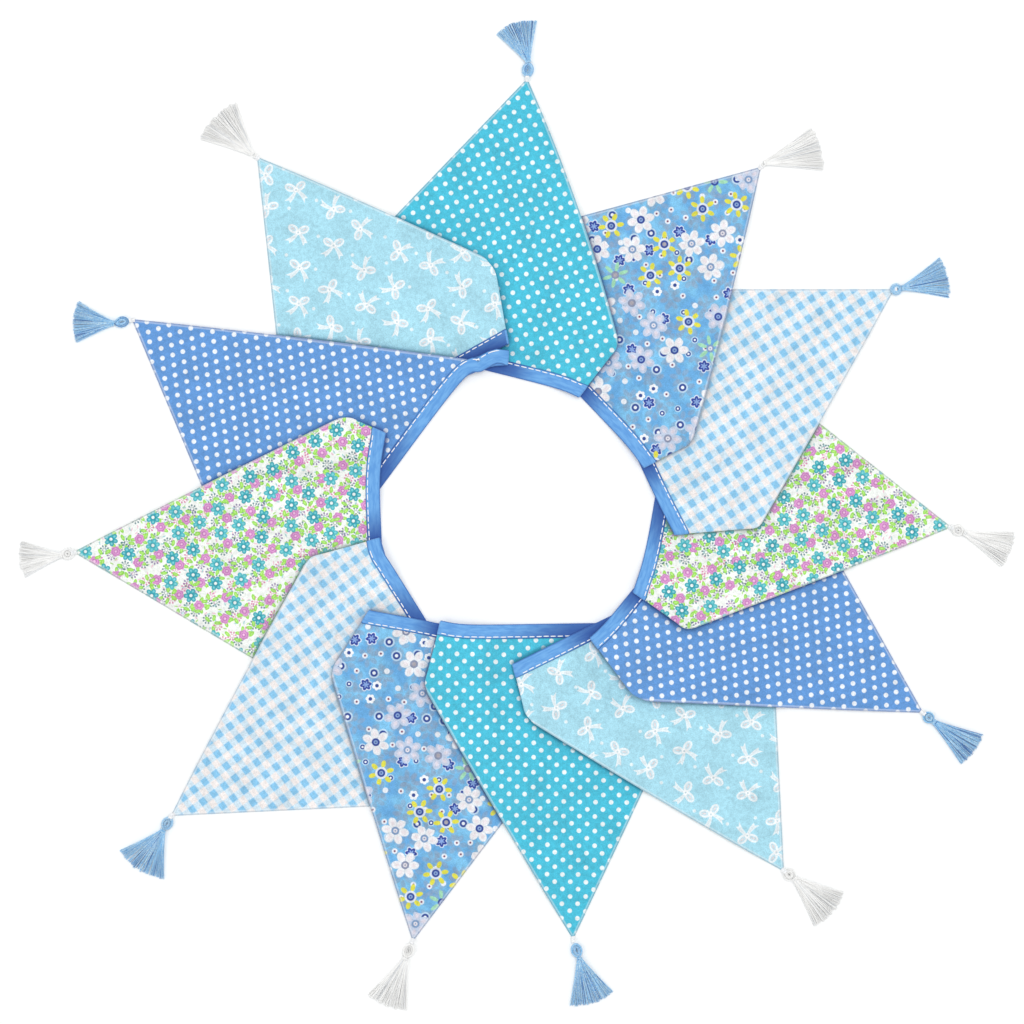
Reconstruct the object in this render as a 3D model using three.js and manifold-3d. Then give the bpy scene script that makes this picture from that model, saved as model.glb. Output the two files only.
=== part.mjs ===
// Fabric bunting: twelve cotton pennants sewn along one bias tape, with a thread tassel at each tip,
// laid flat in a closed ring. Every pennant lies over the next one clockwise, and its clockwise top
// corner is folded under together with the tape, which runs back to where the next pennant starts.
// Millimetres, +Z up. Positions are measured from the middle of the ring's open hole, and the first
// pennant points along +Y.
import * as THREE from 'three';
import { mergeVertices } from 'three/addons/utils/BufferGeometryUtils.js';
import Module from 'manifold-3d';

const wasm = await Module();
wasm.setup();

// Cloth and tape
const clothThick = 1.0;
const tapeThick = 1.3;
const tapeWidth = 10;
const gap = 0.5;
const underDrop = tapeThick + 0.5;
const flagCount = 12;
const turnPerFlag = 360 / flagCount;
const firstTurn = -5;

// Mesh rows: along a flag from tip to tape, across it, round a fold and along the hidden tape
const tipStart = 0.02;
const levelStep = 0.12;
const levelMargin = 0.05;
const flagColumns = 7;
const cornerColumns = 2;
const bendSteps = 3;
const bareSteps = 3;
const tapeStep = 20;

// How far before and past the tape's fold a crossing is looked for, how full a hidden bend is, and
// how far a fold with no cloth in it reaches
const searchBack = 80;
const searchAhead = 140;
const bendReach = 0.35;
const shortCorner = 2;

// How the layers ride over each other, by distance from the ring's middle:
// step is the rise from one flag to the flag that lies on it,
// turns is how many flags deep the pile is under the counter-clockwise side of a flag
const pile = [
  { radius: 60, step: 3.45, turns: 0.35 },
  { radius: 75, step: 3.45, turns: 0.78 },
  { radius: 90, step: 3.45, turns: 1.14 },
  { radius: 105, step: 3.45, turns: 1.45 },
  { radius: 120, step: 3.45, turns: 1.74 },
  { radius: 135, step: 3.45, turns: 1.93 },
  { radius: 150, step: 3.45, turns: 1.98 },
  { radius: 214, step: 3.45, turns: 2.02 },
  { radius: 231, step: 2.35, turns: 1.85 },
  { radius: 248, step: 1.45, turns: 1.6 },
  { radius: 264, step: 0.7, turns: 1.3 },
  { radius: 281, step: 0, turns: 1 },
  { radius: 400, step: 0, turns: 1 },
];

// One row for each flag, clockwise from the top: the print, the tip, the hidden counter-clockwise top
// corner, the places where the tape's inner edge bends, its fold, the bearing of the crease outward
// from the fold, the bearing of the clockwise side seen from the tip, how far that side bulges, and
// the radius of the soft shoulder where crease and side meet. Handles are how far the hidden run
// keeps its direction at each end, where it isn't a share of the run
const flagRows = [
  { print: 'turquoise_dot', tip: [7.7, 287], corner: [-150, 115.5], bends: [[19.5, 73.4]],
    fold: [42.7, 65.1], crease: 38, side: 162, bulge: 6, shoulder: 4 },
  { print: 'daisy', tip: [170.8, 225.4], corner: [-46.4, 160.7], bends: [[70.4, 38.6]],
    fold: [88.2, 16.3], crease: 63, side: 194.4, bulge: 2, shoulder: 8 },
  { print: 'gingham', tip: [263.9, 140], corner: [32.3, 135.5], bends: [[94.6, 0.8]],
    fold: [109.9, -30.1], crease: 85.5, side: 209.9, bulge: 1, shoulder: 3 },
  { print: 'posy', tip: [303.8, -25.9], corner: [117.3, 114.6], bends: [[91.6, -36.8]],
    fold: [81.9, -70], crease: 125.5, side: 249, bulge: 1, shoulder: 3 },
  { print: 'blue_dot', tip: [284.2, -155.4], corner: [170.3, 39.6], bends: [[67.9, -86.1]],
    fold: [52.2, -102.2], crease: 143.5, side: 272.8, bulge: 1, shoulder: 5 },
  { print: 'bow', tip: [186.9, -266], corner: [171.7, -37], bends: [[28, -106.4]],
    fold: [-1.4, -120.9], crease: 165.8, side: 301, bulge: 2, shoulder: 4 },
  { print: 'turquoise_dot', tip: [39.9, -313.6], corner: [139, -92.2], bends: [[-27.7, -94]],
    fold: [-51.4, -91.4], crease: 194.5, side: 329.7, bulge: 1, shoulder: 3 },
  { print: 'daisy', tip: [-72.1, -315], corner: [69.6, -120.7], bends: [[-62.3, -91.5]],
    fold: [-101.1, -84.1], crease: 212.6, side: 343.3, bulge: 1, shoulder: 4 },
  { print: 'gingham', tip: [-240.8, -227.5], corner: [11.3, -210.4], bends: [[-84, -56.9], [-92.3, -43.6]],
    fold: [-94.6, -34.5], crease: 254.5, side: 28.6, bulge: 2, shoulder: 4 },
  { print: 'posy', tip: [-308.7, -43.4], corner: [-87.8, -167.9], bends: [[-95.1, 1.4]],
    fold: [-91, 38.2], crease: 294.5, side: 63.5, bulge: 1, shoulder: 9 },
  { print: 'blue_dot', tip: [-268.1, 119], corner: [-170.7, -99.8],
    bends: [[-41.3, 72.1], [-23.8, 82.6], [-13.3, 88.2]],
    fold: [-7, 86.9], crease: 4, side: 96.9, bulge: 1, shoulder: 0, handles: [14, 80] },
  { print: 'bow', tip: [-180.6, 232.4], corner: [-153.1, 17.4], bends: [[-36.2, 84.8]],
    fold: [-6.3, 101.5], crease: 350, side: 114.6, bulge: 2, shoulder: 14 },
];

// Tassels: the bearing and length of the head outward from the flag's tip, and the skirt's
// middle bearing, spread and length
const tasselRows = [
  { headTurn: 5, head: 12, skirtTurn: 339, spread: 50, skirt: 28 },
  { headTurn: 40, head: 4, skirtTurn: 75, spread: 36, skirt: 40 },
  { headTurn: 80, head: 6, skirtTurn: 76, spread: 42, skirt: 32 },
  { headTurn: 113, head: 10, skirtTurn: 111, spread: 34, skirt: 35 },
  { headTurn: 130, head: 10, skirtTurn: 126, spread: 32, skirt: 34 },
  { headTurn: 125, head: 9, skirtTurn: 132, spread: 44, skirt: 36 },
  { headTurn: 163, head: 14, skirtTurn: 163, spread: 46, skirt: 32 },
  { headTurn: 203, head: 13, skirtTurn: 201, spread: 40, skirt: 36 },
  { headTurn: 209, head: 11.5, skirtTurn: 212, spread: 58, skirt: 32 },
  { headTurn: 256, head: 9, skirtTurn: 264, spread: 40, skirt: 29 },
  { headTurn: 259, head: 13, skirtTurn: 272, spread: 48, skirt: 28 },
  { headTurn: 305, head: 4, skirtTurn: 313, spread: 48, skirt: 36 },
];
const collarLength = 3.6;
const collarRadius = 2.3;
const collarSides = 8;
const loopReach = 3;
const loopThick = 1.6;
const loopInset = 0.4;
const shortestLoop = 4;

// Locks of skirt thread in two layers: heights of the flat side and the ridge at root, bend and end
const lockLayers = [
  { count: 9, floor: [0.7, 0, 0], ridge: [2.1, 1.7, 1.5] },
  { count: 8, floor: [3.6, 3.3, 2.9], ridge: [2.2, 1.75, 1.55] },
];
const lockFill = 0.62;
const lockRootWidth = 0.26;
const lockRootInset = 1.2;
const lockRootSpan = 1.5;
const lockBend = 0.42;
const lockPastBend = 0.6;
const neckSpread = 0.6;
const lockUneven = 0.05;
const lockWaves = 2.4;

const colours = {
  turquoise_dot: 0x35bfe0,
  daisy: 0x74b2ec,
  gingham: 0xb4def6,
  posy: 0xe6f1ea,
  blue_dot: 0x5a94e2,
  bow: 0xa6daf1,
  tape: 0x6a9fe4,
  blueThread: 0x8cc4f0,
  whiteThread: 0xf4f4f0,
};

const toVector = (pair) => new THREE.Vector2(pair[0], pair[1]);
const lerp = (a, b, t) => a + (b - a) * t;
const clamp = (value, low, high) => Math.min(high, Math.max(low, value));
const cross = (a, b) => a.x * b.y - a.y * b.x;
const leftOf = (v) => new THREE.Vector2(-v.y, v.x);

// Unit vector of a compass bearing, clockwise from +Y
function heading(degrees) {
  const turn = THREE.MathUtils.degToRad(degrees);
  return new THREE.Vector2(Math.sin(turn), Math.cos(turn));
}

// The direction v mirrored in the line along the unit vector axis
function mirrored(v, axis) {
  return axis.clone().multiplyScalar(2 * v.dot(axis)).sub(v);
}

function findRoot(valueAt, low, high) {
  let a = low;
  let b = high;
  const rising = valueAt(a) < 0;
  for (let step = 0; step < 40; step += 1) {
    const middle = (a + b) / 2;
    if ((valueAt(middle) < 0) === rising) {
      a = middle;
    } else {
      b = middle;
    }
  }
  return (a + b) / 2;
}

function pileAt(radius) {
  const last = pile.findIndex((row) => row.radius > radius);
  const high = pile[clamp(last, 1, pile.length - 1)];
  const low = pile[pile.indexOf(high) - 1];
  const t = clamp((radius - low.radius) / (high.radius - low.radius), 0, 1);
  return { step: lerp(low.step, high.step, t), turns: lerp(low.turns, high.turns, t) };
}

// Height of the middle of a flag's top layer. The twelve layers are one ramp, each a twelfth of a
// turn further on, so all of them can lie over their neighbour and none cuts another
function layerHeight(index, point) {
  const bearing = THREE.MathUtils.radToDeg(Math.atan2(point.x, point.y));
  const own = firstTurn + turnPerFlag * index;
  const ahead = THREE.MathUtils.euclideanModulo(bearing - own + 180, 360) - 180;
  const { step, turns } = pileAt(point.length());
  return clothThick / 2 + step * (ahead / turnPerFlag + turns);
}

// The tape's inner edge: straight from the hidden corner, bent near the fold, straight past it
class TapeEdge {
  constructor(row) {
    const corner = toVector(row.corner);
    const bends = row.bends.map(toVector);
    const middle = corner.clone().lerp(bends[0], 0.5);
    this.curve = new THREE.SplineCurve([corner, middle, ...bends, toVector(row.fold)]);
    this.length = this.curve.getLength();
  }

  // The point at a distance along the edge, moved outward across the tape
  at(distance, out) {
    const t = clamp(distance / this.length, 0, 1);
    const tangent = this.curve.getTangentAt(t);
    const past = distance - t * this.length;
    const point = this.curve.getPointAt(t).addScaledVector(tangent, past);
    return point.addScaledVector(leftOf(tangent), out);
  }

  tangent(distance) {
    return this.curve.getTangentAt(clamp(distance / this.length, 0, 1));
  }
}

// A flag's outline worked out once: its tape edge, crease, side and where they meet
function layOut(row, index) {
  const edge = new TapeEdge(row);
  const tip = toVector(row.tip);
  const fold = toVector(row.fold);
  const crease = heading(row.crease);
  const side = heading(row.side);
  const beyond = (point) => -cross(crease, point.clone().sub(fold));
  const nearFold = (valueAt) => findRoot(
    valueAt, edge.length - searchBack, edge.length + searchAhead);
  const sideEnd = (out) => nearFold((s) => cross(side, edge.at(s, out).sub(tip)));
  const creaseEnd = (out) => nearFold((s) => beyond(edge.at(s, out)));
  return { row, index, edge, tip, fold, crease, side, beyond, sideEnd, creaseEnd };
}

const layouts = flagRows.map(layOut);

// A closed solid around a middle surface: points with their facing, and triangles between them
class Sheet {
  constructor(thickness) {
    this.half = thickness / 2;
    this.points = [];
    this.triangles = [];
  }

  add(x, y, z, facing) {
    this.points.push({ place: new THREE.Vector3(x, y, z), facing });
    return this.points.length - 1;
  }

  quad(a, b, c, d) {
    for (const face of [[a, b, c], [a, c, d]]) {
      if (new Set(face).size === 3) {
        this.triangles.push(face);
      }
    }
  }

  // Rows of point numbers, each as long as the last
  weave(rows) {
    for (let i = 0; i + 1 < rows.length; i += 1) {
      for (let j = 0; j + 1 < rows[i].length; j += 1) {
        this.quad(rows[i][j], rows[i][j + 1], rows[i + 1][j + 1], rows[i + 1][j]);
      }
    }
  }

  geometry() {
    const count = this.points.length;
    const positions = [];
    for (const sign of [1, -1]) {
      for (const { place, facing } of this.points) {
        positions.push(...place.clone().addScaledVector(facing, sign * this.half).toArray());
      }
    }
    const rim = new Map();
    const indices = [];
    for (const [a, b, c] of this.triangles) {
      indices.push(a, b, c, a + count, c + count, b + count);
      for (const [from, to] of [[a, b], [b, c], [c, a]]) {
        if (!rim.delete(`${to}_${from}`)) {
          rim.set(`${from}_${to}`, [from, to]);
        }
      }
    }
    for (const [from, to] of rim.values()) {
      indices.push(from, from + count, to + count, from, to + count, to);
    }
    const geometry = new THREE.BufferGeometry();
    geometry.setAttribute('position', new THREE.Float32BufferAttribute(positions, 3));
    geometry.setIndex(indices);
    return geometry;
  }
}

const upward = new THREE.Vector3(0, 0, 1);
const downward = new THREE.Vector3(0, 0, -1);

// Point numbers of a half turn that carries a layer down by drop and back under itself
function halfTurn(sheet, point, outward, height, drop, steps) {
  const numbers = [];
  for (let k = 1; k <= steps; k += 1) {
    const angle = (Math.PI * k) / steps;
    const facing = new THREE.Vector3(
      outward.x * Math.sin(angle), outward.y * Math.sin(angle), Math.cos(angle));
    const centre = new THREE.Vector3(point.x, point.y, height - drop / 2);
    const place = centre.addScaledVector(facing, drop / 2);
    numbers.push(sheet.add(place.x, place.y, place.z, facing));
  }
  return numbers;
}

// A pennant: rows from the tip to the tape, with the clockwise corner folded under
function makeFlag(layout) {
  const { row, index, edge, tip, side, beyond } = layout;
  const out = tapeWidth + gap;
  const width = layout.sideEnd(out);
  const bulgeWay = leftOf(side);
  const flat = (u, f) => {
    const point = tip.clone().lerp(edge.at(u * width, out), f);
    return point.addScaledVector(bulgeWay, row.bulge * u * 4 * f * (1 - f));
  };
  const folds = beyond(flat(1, 1)) > 0;
  const shoulderAt = folds ? findRoot((f) => beyond(flat(1, f)), 0.3, 1) : 1;
  const sideLength = tip.distanceTo(flat(1, 1));
  const reach = row.shoulder / sideLength;
  const foldStart = shoulderAt - reach;

  const creaseAt = (f) => {
    if (!folds || f < foldStart) {
      return 1;
    }
    const straight = f > shoulderAt ? findRoot((u) => beyond(flat(u, f)), 0.2, 1) : 1;
    const left = Math.max(0, row.shoulder - Math.abs(f - shoulderAt) * sideLength);
    const rounding = row.shoulder > 0 ? (left * left) / (4 * row.shoulder) : 0;
    return straight - rounding / (f * width);
  };

  const levels = [tipStart];
  for (let f = levelStep; f < foldStart - levelMargin; f += levelStep) {
    levels.push(f);
  }
  const foldLevels = folds ? [foldStart, shoulderAt, shoulderAt + reach] : [1];
  if (folds) {
    const from = shoulderAt + reach;
    const remaining = Math.max(1, Math.round((1 - from) / levelStep));
    for (let k = 1; k <= remaining; k += 1) {
      foldLevels.push(lerp(from, 1, k / remaining));
    }
  }

  const sheet = new Sheet(clothThick);
  const addFlat = (point, drop, facing) => sheet.add(
    point.x, point.y, layerHeight(index, point) - drop, facing);
  const rowOf = (f) => {
    const last = creaseAt(f);
    const numbers = [];
    for (let k = 0; k <= flagColumns; k += 1) {
      numbers.push(addFlat(flat((last * k) / flagColumns, f), 0, upward));
    }
    return numbers;
  };
  const rows = [...levels, ...foldLevels].map(rowOf);
  sheet.weave([...rows].reverse());
  if (folds) {
    const creasePoints = foldLevels.map((f) => flat(creaseAt(f), f));
    const edges = rows.slice(levels.length).map((numbers) => numbers[flagColumns]);
    const turned = foldLevels.map((f, k) => {
      const before = creasePoints[Math.max(0, k - 1)];
      const after = creasePoints[Math.min(creasePoints.length - 1, k + 1)];
      const outward = leftOf(after.clone().sub(before).normalize());
      const height = sheet.points[edges[k]].place.z;
      const bend = halfTurn(sheet, creasePoints[k], outward, height, underDrop, bendSteps);
      const numbers = [edges[k], ...bend];
      const start = creaseAt(f);
      for (let c = 1; c <= cornerColumns; c += 1) {
        if (k === 0) {
          numbers.push(bend[bendSteps - 1]);
        } else {
          const away = flat(lerp(start, 1, c / cornerColumns), f).sub(creasePoints[k]);
          const place = creasePoints[k].clone().add(mirrored(away, layout.crease));
          numbers.push(addFlat(place, underDrop, downward));
        }
      }
      return numbers;
    });
    sheet.weave(turned.reverse());
  }
  return sheet.geometry();
}

// A smooth path from one point and direction to another
function joinPath(from, startWay, to, endWay, handles) {
  const reach = from.distanceTo(to) * bendReach;
  const [first, last] = handles ?? [reach, reach];
  return new THREE.CubicBezierCurve(
    from,
    from.clone().addScaledVector(startWay, first),
    to.clone().addScaledVector(endWay, -last),
    to,
  );
}

// Where one flag's tape turns: its fold at the crease, and the run mirrored under the folded corner
function tapeTurn(layout) {
  const { edge, crease, fold } = layout;
  const innerEnd = layout.creaseEnd(0);
  const outerEnd = layout.creaseEnd(tapeWidth);
  const sideEnd = layout.sideEnd(tapeWidth);
  const turnOver = (point) => fold.clone().add(mirrored(point.sub(fold), crease));
  const cornerEnd = sideEnd > outerEnd ? sideEnd : Math.max(innerEnd, outerEnd) + shortCorner;
  const underStart = turnOver(edge.at(cornerEnd + tapeWidth / 2, tapeWidth / 2));
  const backWay = mirrored(edge.tangent(edge.length), crease);
  return { innerEnd, outerEnd, turnOver, cornerEnd, underStart, backWay };
}

// Two points across the tape, the outer one first, on or below a flag's layer
function tapePair(sheet, index, inner, outer, drop, facing) {
  return [outer, inner].map((point) => sheet.add(
    point.x, point.y, layerHeight(index, point) - drop, facing));
}

function pairAcross(sheet, index, centre, along) {
  const across = leftOf(along).multiplyScalar(tapeWidth / 2);
  const inner = centre.clone().add(across);
  const outer = centre.clone().sub(across);
  return tapePair(sheet, index, inner, outer, underDrop, downward);
}

// The tape along one flag's top edge, folded under at the crease as far as the folded corner goes
function makeTopTape(layout) {
  const { index, edge, crease } = layout;
  const turn = tapeTurn(layout);
  const sheet = new Sheet(tapeThick);
  const stations = [];
  const clothEnd = layout.sideEnd(tapeWidth + gap);
  const bare = clothEnd < turn.outerEnd;
  const innerReach = bare ? clothEnd : turn.innerEnd;
  const outerReach = bare ? clothEnd : turn.outerEnd;
  const addPair = (inner, outer) => stations.push(tapePair(
    sheet, index, edge.at(inner, 0), edge.at(outer, tapeWidth), 0, upward));
  for (let k = 0; k <= flagColumns; k += 1) {
    const t = k / flagColumns;
    addPair(Math.max(gap, innerReach * t), Math.max(gap, outerReach * t));
  }
  for (let k = 1; bare && k <= bareSteps; k += 1) {
    const t = k / bareSteps;
    addPair(lerp(clothEnd, turn.innerEnd, t), lerp(clothEnd, turn.outerEnd, t));
  }
  const outward = leftOf(crease).negate();
  const ends = [edge.at(turn.outerEnd, tapeWidth), edge.at(turn.innerEnd, 0)];
  const bends = ends.map((point) => halfTurn(
    sheet, point, outward, layerHeight(index, point), underDrop, bendSteps));
  for (let k = 0; k < bendSteps; k += 1) {
    stations.push([bends[0][k], bends[1][k]]);
  }
  for (let k = 1; k <= cornerColumns; k += 1) {
    const t = k / cornerColumns;
    const inner = turn.turnOver(edge.at(lerp(turn.innerEnd, turn.cornerEnd, t), 0));
    const outer = turn.turnOver(edge.at(lerp(turn.outerEnd, turn.cornerEnd, t), tapeWidth));
    stations.push(tapePair(sheet, index, inner, outer, underDrop, downward));
  }
  stations.push(pairAcross(sheet, index, turn.underStart, turn.backWay));
  sheet.weave(stations);
  return sheet.geometry();
}

// The tape from there, beneath the flag to the hidden corner of the next one, and folded down
// there to meet the next run
function makeUnderTape(layout, next) {
  const { index } = layout;
  const turn = tapeTurn(layout);
  const sheet = new Sheet(tapeThick);
  const endWay = next.edge.tangent(0).negate();
  const target = next.edge.at(0, tapeWidth / 2);
  const path = joinPath(turn.underStart, turn.backWay, target, endWay, layout.row.handles);
  const first = gap / path.getLength();
  const count = Math.ceil(path.getLength() / tapeStep);
  const stations = [];
  for (let k = 0; k <= count; k += 1) {
    const t = Math.max(first, k / count);
    stations.push(pairAcross(sheet, index, path.getPointAt(t), path.getTangentAt(t)));
  }
  const ends = [tapeWidth, 0].map((out) => {
    const point = next.edge.at(0, out);
    const high = layerHeight(index, point) - underDrop;
    const low = layerHeight(next.index, point);
    const radius = (high - low) / 2;
    const numbers = [];
    for (let k = 1; k <= bendSteps; k += 1) {
      const angle = (Math.PI * k) / bendSteps;
      const facing = new THREE.Vector3(
        -endWay.x * Math.sin(angle), -endWay.y * Math.sin(angle), -Math.cos(angle));
      const middle = new THREE.Vector3(point.x, point.y, (high + low) / 2);
      const place = middle.addScaledVector(facing, -radius);
      numbers.push(sheet.add(place.x, place.y, place.z, facing));
    }
    return numbers;
  });
  for (let k = 0; k < bendSteps; k += 1) {
    stations.push([ends[0][k], ends[1][k]]);
  }
  sheet.weave(stations);
  return sheet.geometry();
}

function toManifold(geometry) {
  const bare = new THREE.BufferGeometry();
  bare.setAttribute('position', geometry.getAttribute('position').clone());
  if (geometry.index) {
    bare.setIndex(geometry.index.clone());
  }
  const merged = mergeVertices(bare, 1e-4);
  return new wasm.Manifold(new wasm.Mesh({
    numProp: 3,
    vertProperties: new Float32Array(merged.getAttribute('position').array),
    triVerts: new Uint32Array(merged.index.array),
  }));
}

function fromManifold(solid) {
  const mesh = solid.getMesh();
  const geometry = new THREE.BufferGeometry();
  geometry.setAttribute('position', new THREE.BufferAttribute(mesh.vertProperties, 3));
  geometry.setIndex(new THREE.BufferAttribute(mesh.triVerts, 1));
  return geometry;
}

// A lock of skirt threads: three-sided, flat side down in the lower layer and up in the upper one
function makeLock(stations) {
  const positions = [];
  const indices = [];
  for (const { centre, across, width, floor, ridge } of stations) {
    for (const [shift, z] of [[-0.5, floor], [0.5, floor], [0, ridge]]) {
      const point = centre.clone().addScaledVector(across, shift * width);
      positions.push(point.x, point.y, z);
    }
  }
  const upright = stations[0].ridge < stations[0].floor;
  const push = (a, b, c) => indices.push(...(upright ? [a, b, c] : [a, c, b]));
  for (let k = 0; k + 1 < stations.length; k += 1) {
    for (let s = 0; s < 3; s += 1) {
      const a = 3 * k + s;
      const b = 3 * k + ((s + 1) % 3);
      push(a, b, b + 3);
      push(a, b + 3, a + 3);
    }
  }
  const last = 3 * (stations.length - 1);
  push(0, 2, 1);
  push(last, last + 1, last + 2);
  const geometry = new THREE.BufferGeometry();
  geometry.setAttribute('position', new THREE.Float32BufferAttribute(positions, 3));
  geometry.setIndex(indices);
  return geometry;
}

// A tassel lying on the surface: a loop head, a bound collar and a fanned skirt of locks
function makeTassel(layout, row) {
  const headWay = heading(row.headTurn);
  const tip = layout.tip.clone().addScaledVector(headWay, gap);
  const neck = tip.clone().addScaledVector(headWay, row.head);
  const turn = Math.atan2(headWay.y, headWay.x);
  const parts = [];

  const halfSide = Math.PI / collarSides;
  const collar = new THREE.CylinderGeometry(collarRadius, collarRadius, collarLength, collarSides);
  collar.rotateZ(-Math.PI / 2);
  collar.rotateX(halfSide);
  collar.translate(row.head - collarLength / 2, 0, collarRadius * Math.cos(halfSide));
  collar.rotateZ(turn);
  collar.translate(tip.x, tip.y, 0);
  parts.push(toManifold(collar));

  const loopLength = row.head - collarLength;
  if (loopLength > shortestLoop) {
    const halfLoop = loopLength / 2 + loopInset;
    const loop = new THREE.TorusGeometry(loopReach, loopThick, 6, 10);
    loop.scale(halfLoop / (loopReach + loopThick), 1, 1);
    loop.translate(halfLoop, 0, loopThick * Math.cos(Math.PI / 6));
    loop.rotateZ(turn);
    loop.translate(tip.x, tip.y, 0);
    parts.push(toManifold(loop));
  }

  const rootSpan = collarRadius * lockRootSpan;
  const acrossSkirt = leftOf(heading(row.skirtTurn)).negate();
  const fan = THREE.MathUtils.degToRad(row.spread);
  for (const { count, floor, ridge } of lockLayers) {
    const widthAt = (distance) => (lockFill * (rootSpan + fan * distance)) / count;
    for (let k = 0; k < count; k += 1) {
      const share = (k + 0.5) / count - 0.5;
      const way = heading(row.skirtTurn + share * row.spread);
      const neckWay = heading(row.skirtTurn + share * row.spread * neckSpread);
      const length = row.skirt * (1 + lockUneven * Math.sin(lockWaves * k + row.skirtTurn));
      const root = neck.clone()
        .addScaledVector(headWay, -lockRootInset)
        .addScaledVector(acrossSkirt, share * rootSpan);
      const middle = root.clone().addScaledVector(neckWay, length * lockBend);
      const end = middle.clone().addScaledVector(way, length * lockPastBend);
      const widths = [lockRootWidth, widthAt(length * lockBend), widthAt(length)];
      const across = leftOf(way).negate();
      parts.push(toManifold(makeLock([root, middle, end].map((centre, s) => (
        { centre, across, width: widths[s], floor: floor[s], ridge: ridge[s] })))));
    }
  }
  return fromManifold(wasm.Manifold.union(parts));
}

function clothMaterial(colour, roughness) {
  return new THREE.MeshStandardMaterial({ color: colour, roughness, metalness: 0, flatShading: true });
}

const bunting = new THREE.Group();

function addPiece(name, geometry, material) {
  geometry.computeVertexNormals();
  const mesh = new THREE.Mesh(geometry, material);
  mesh.name = name;
  bunting.add(mesh);
}

layouts.forEach((layout, index) => {
  const number = String(index + 1).padStart(2, '0');
  const next = layouts[(index + 1) % flagCount];
  const thread = index % 2 === 0 ? colours.blueThread : colours.whiteThread;
  const { print } = layout.row;
  addPiece(`flag_${number}_${print}`, makeFlag(layout), clothMaterial(colours[print], 0.9));
  addPiece(`tape_${number}_top`, makeTopTape(layout), clothMaterial(colours.tape, 0.85));
  addPiece(`tape_${number}_under`, makeUnderTape(layout, next), clothMaterial(colours.tape, 0.85));
  addPiece(`tassel_${number}`, makeTassel(layout, tasselRows[index]), clothMaterial(thread, 0.6));
});

// The origin is the middle of the footprint, on the surface
const bounds = new THREE.Box3().setFromObject(bunting);
const centre = bounds.getCenter(new THREE.Vector3());
bunting.position.set(-centre.x, -centre.y, -bounds.min.z);

export default bunting;
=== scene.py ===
# Fabric bunting: twelve cotton pennants on one bias tape, a thread tassel at each tip, laid flat in a ring
import math

import bpy
import numpy as np
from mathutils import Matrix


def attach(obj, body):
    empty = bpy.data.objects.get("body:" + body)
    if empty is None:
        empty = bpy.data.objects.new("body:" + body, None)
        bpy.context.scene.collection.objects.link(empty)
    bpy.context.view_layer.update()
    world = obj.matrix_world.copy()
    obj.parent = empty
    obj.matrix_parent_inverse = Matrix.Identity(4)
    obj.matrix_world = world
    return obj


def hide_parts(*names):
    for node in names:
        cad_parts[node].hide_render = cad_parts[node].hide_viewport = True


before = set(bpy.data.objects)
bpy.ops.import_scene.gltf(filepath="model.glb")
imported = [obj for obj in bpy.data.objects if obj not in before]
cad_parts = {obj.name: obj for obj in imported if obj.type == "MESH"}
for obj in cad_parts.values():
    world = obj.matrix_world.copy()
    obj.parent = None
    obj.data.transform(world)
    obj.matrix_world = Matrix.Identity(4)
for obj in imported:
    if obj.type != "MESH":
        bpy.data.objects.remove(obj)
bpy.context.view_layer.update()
scene = bpy.context.scene
bpy.ops.object.select_all(action="DESELECT")  # the part's own pieces come in selected

# All lengths below are millimetres from the middle of the ring's open hole, as in the part's source
ring = {
    "toMetres": 0.001,
    "shift": (-0.288, 17.952),  # from the ring's middle to the middle of the footprint
    "photoCentre": (-2.8, -15.4),
    "photoWidth": 716.8,
    "lens": 100,
    "sensor": 36,
}
cloth = {
    "thickness": 0.7,
    "seamThickness": 1.0,  # where the seam allowance lies inside
    "seamWidth": 6.0,
    "layerRise": 1.6,  # from one layer to the one lying on it
    "underRise": 1.6,  # from a folded corner or hidden tape to the layer over it
    "rest": 0.52,  # height of the middle of a layer that lies on the floor
    "tapeLift": 0.36,  # how much more the tape holds it up
    "reachFlat": 1.2,  # how far past an edge the layer above still lies level
    "reachDown": 13.0,  # over how far it then comes down
    "deepest": 5,  # how many pennants clockwise can still have cloth beneath a point, itself included
    "waver": 0.16,
    "curl": 1.5,  # how far a clockwise side stands up
    "curlReach": 7.0,
    "curlStart": (4, 40),  # the tip itself lies flat, and the curl grows over these distances from it
    "springReach": 34,  # how far in from its fold a pennant still stands up
    "rows": 116,
    "columns": 60,
    "firstRow": 0.006,  # share of the way from tip to tape
    "rowPower": 0.97,  # rows lie a little closer towards the tape
    "sideOffsets": (0, 0.5, 1.2, 2.2, 3.6, 5.2, 7.0, 9.5),  # columns lie closer along both sides
    "offsetsFrom": 42,  # a row shorter than this has them closer still
    "cornerColumns": 18,
    "bendSteps": 6,
    "narrowFold": 0.62,  # the fold is this much of its full depth where it starts
    "foldGrowth": 9,  # and reaches its full depth over this length
    "intoTape": 5.5,
    "noCover": 50.0,  # distance to the layer above, written where nothing can show
}
tape = {
    "width": 10.0,
    "gap": 0.5,
    "edgeSteps": 160,
    "mainStations": 84,
    "cornerStations": 12,
    "hiddenStep": 4.0,
    "section": [  # a U: distance from its folded edge, and height from the middle of the pennant in it
        (10.0, 0.66), (9.4, 0.74), (8.9, 0.70), (8.5, 0.70), (8.0, 0.76), (6.0, 0.80), (3.5, 0.80),
        (1.4, 0.76), (0.6, 0.62), (0.15, 0.34), (0.0, 0.0), (0.15, -0.34), (0.6, -0.62), (1.4, -0.74),
        (5.0, -0.76), (9.4, -0.74), (10.0, -0.64), (10.0, -0.42), (9.4, -0.36), (4.0, -0.36), (1.6, -0.3),
        (1.3, 0.0), (1.6, 0.3), (4.0, 0.36), (9.4, 0.36), (10.0, 0.42)],
}
outlinePoints = {"edge": 14, "side": 24, "corner": 8, "atTip": 0.01}

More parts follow.
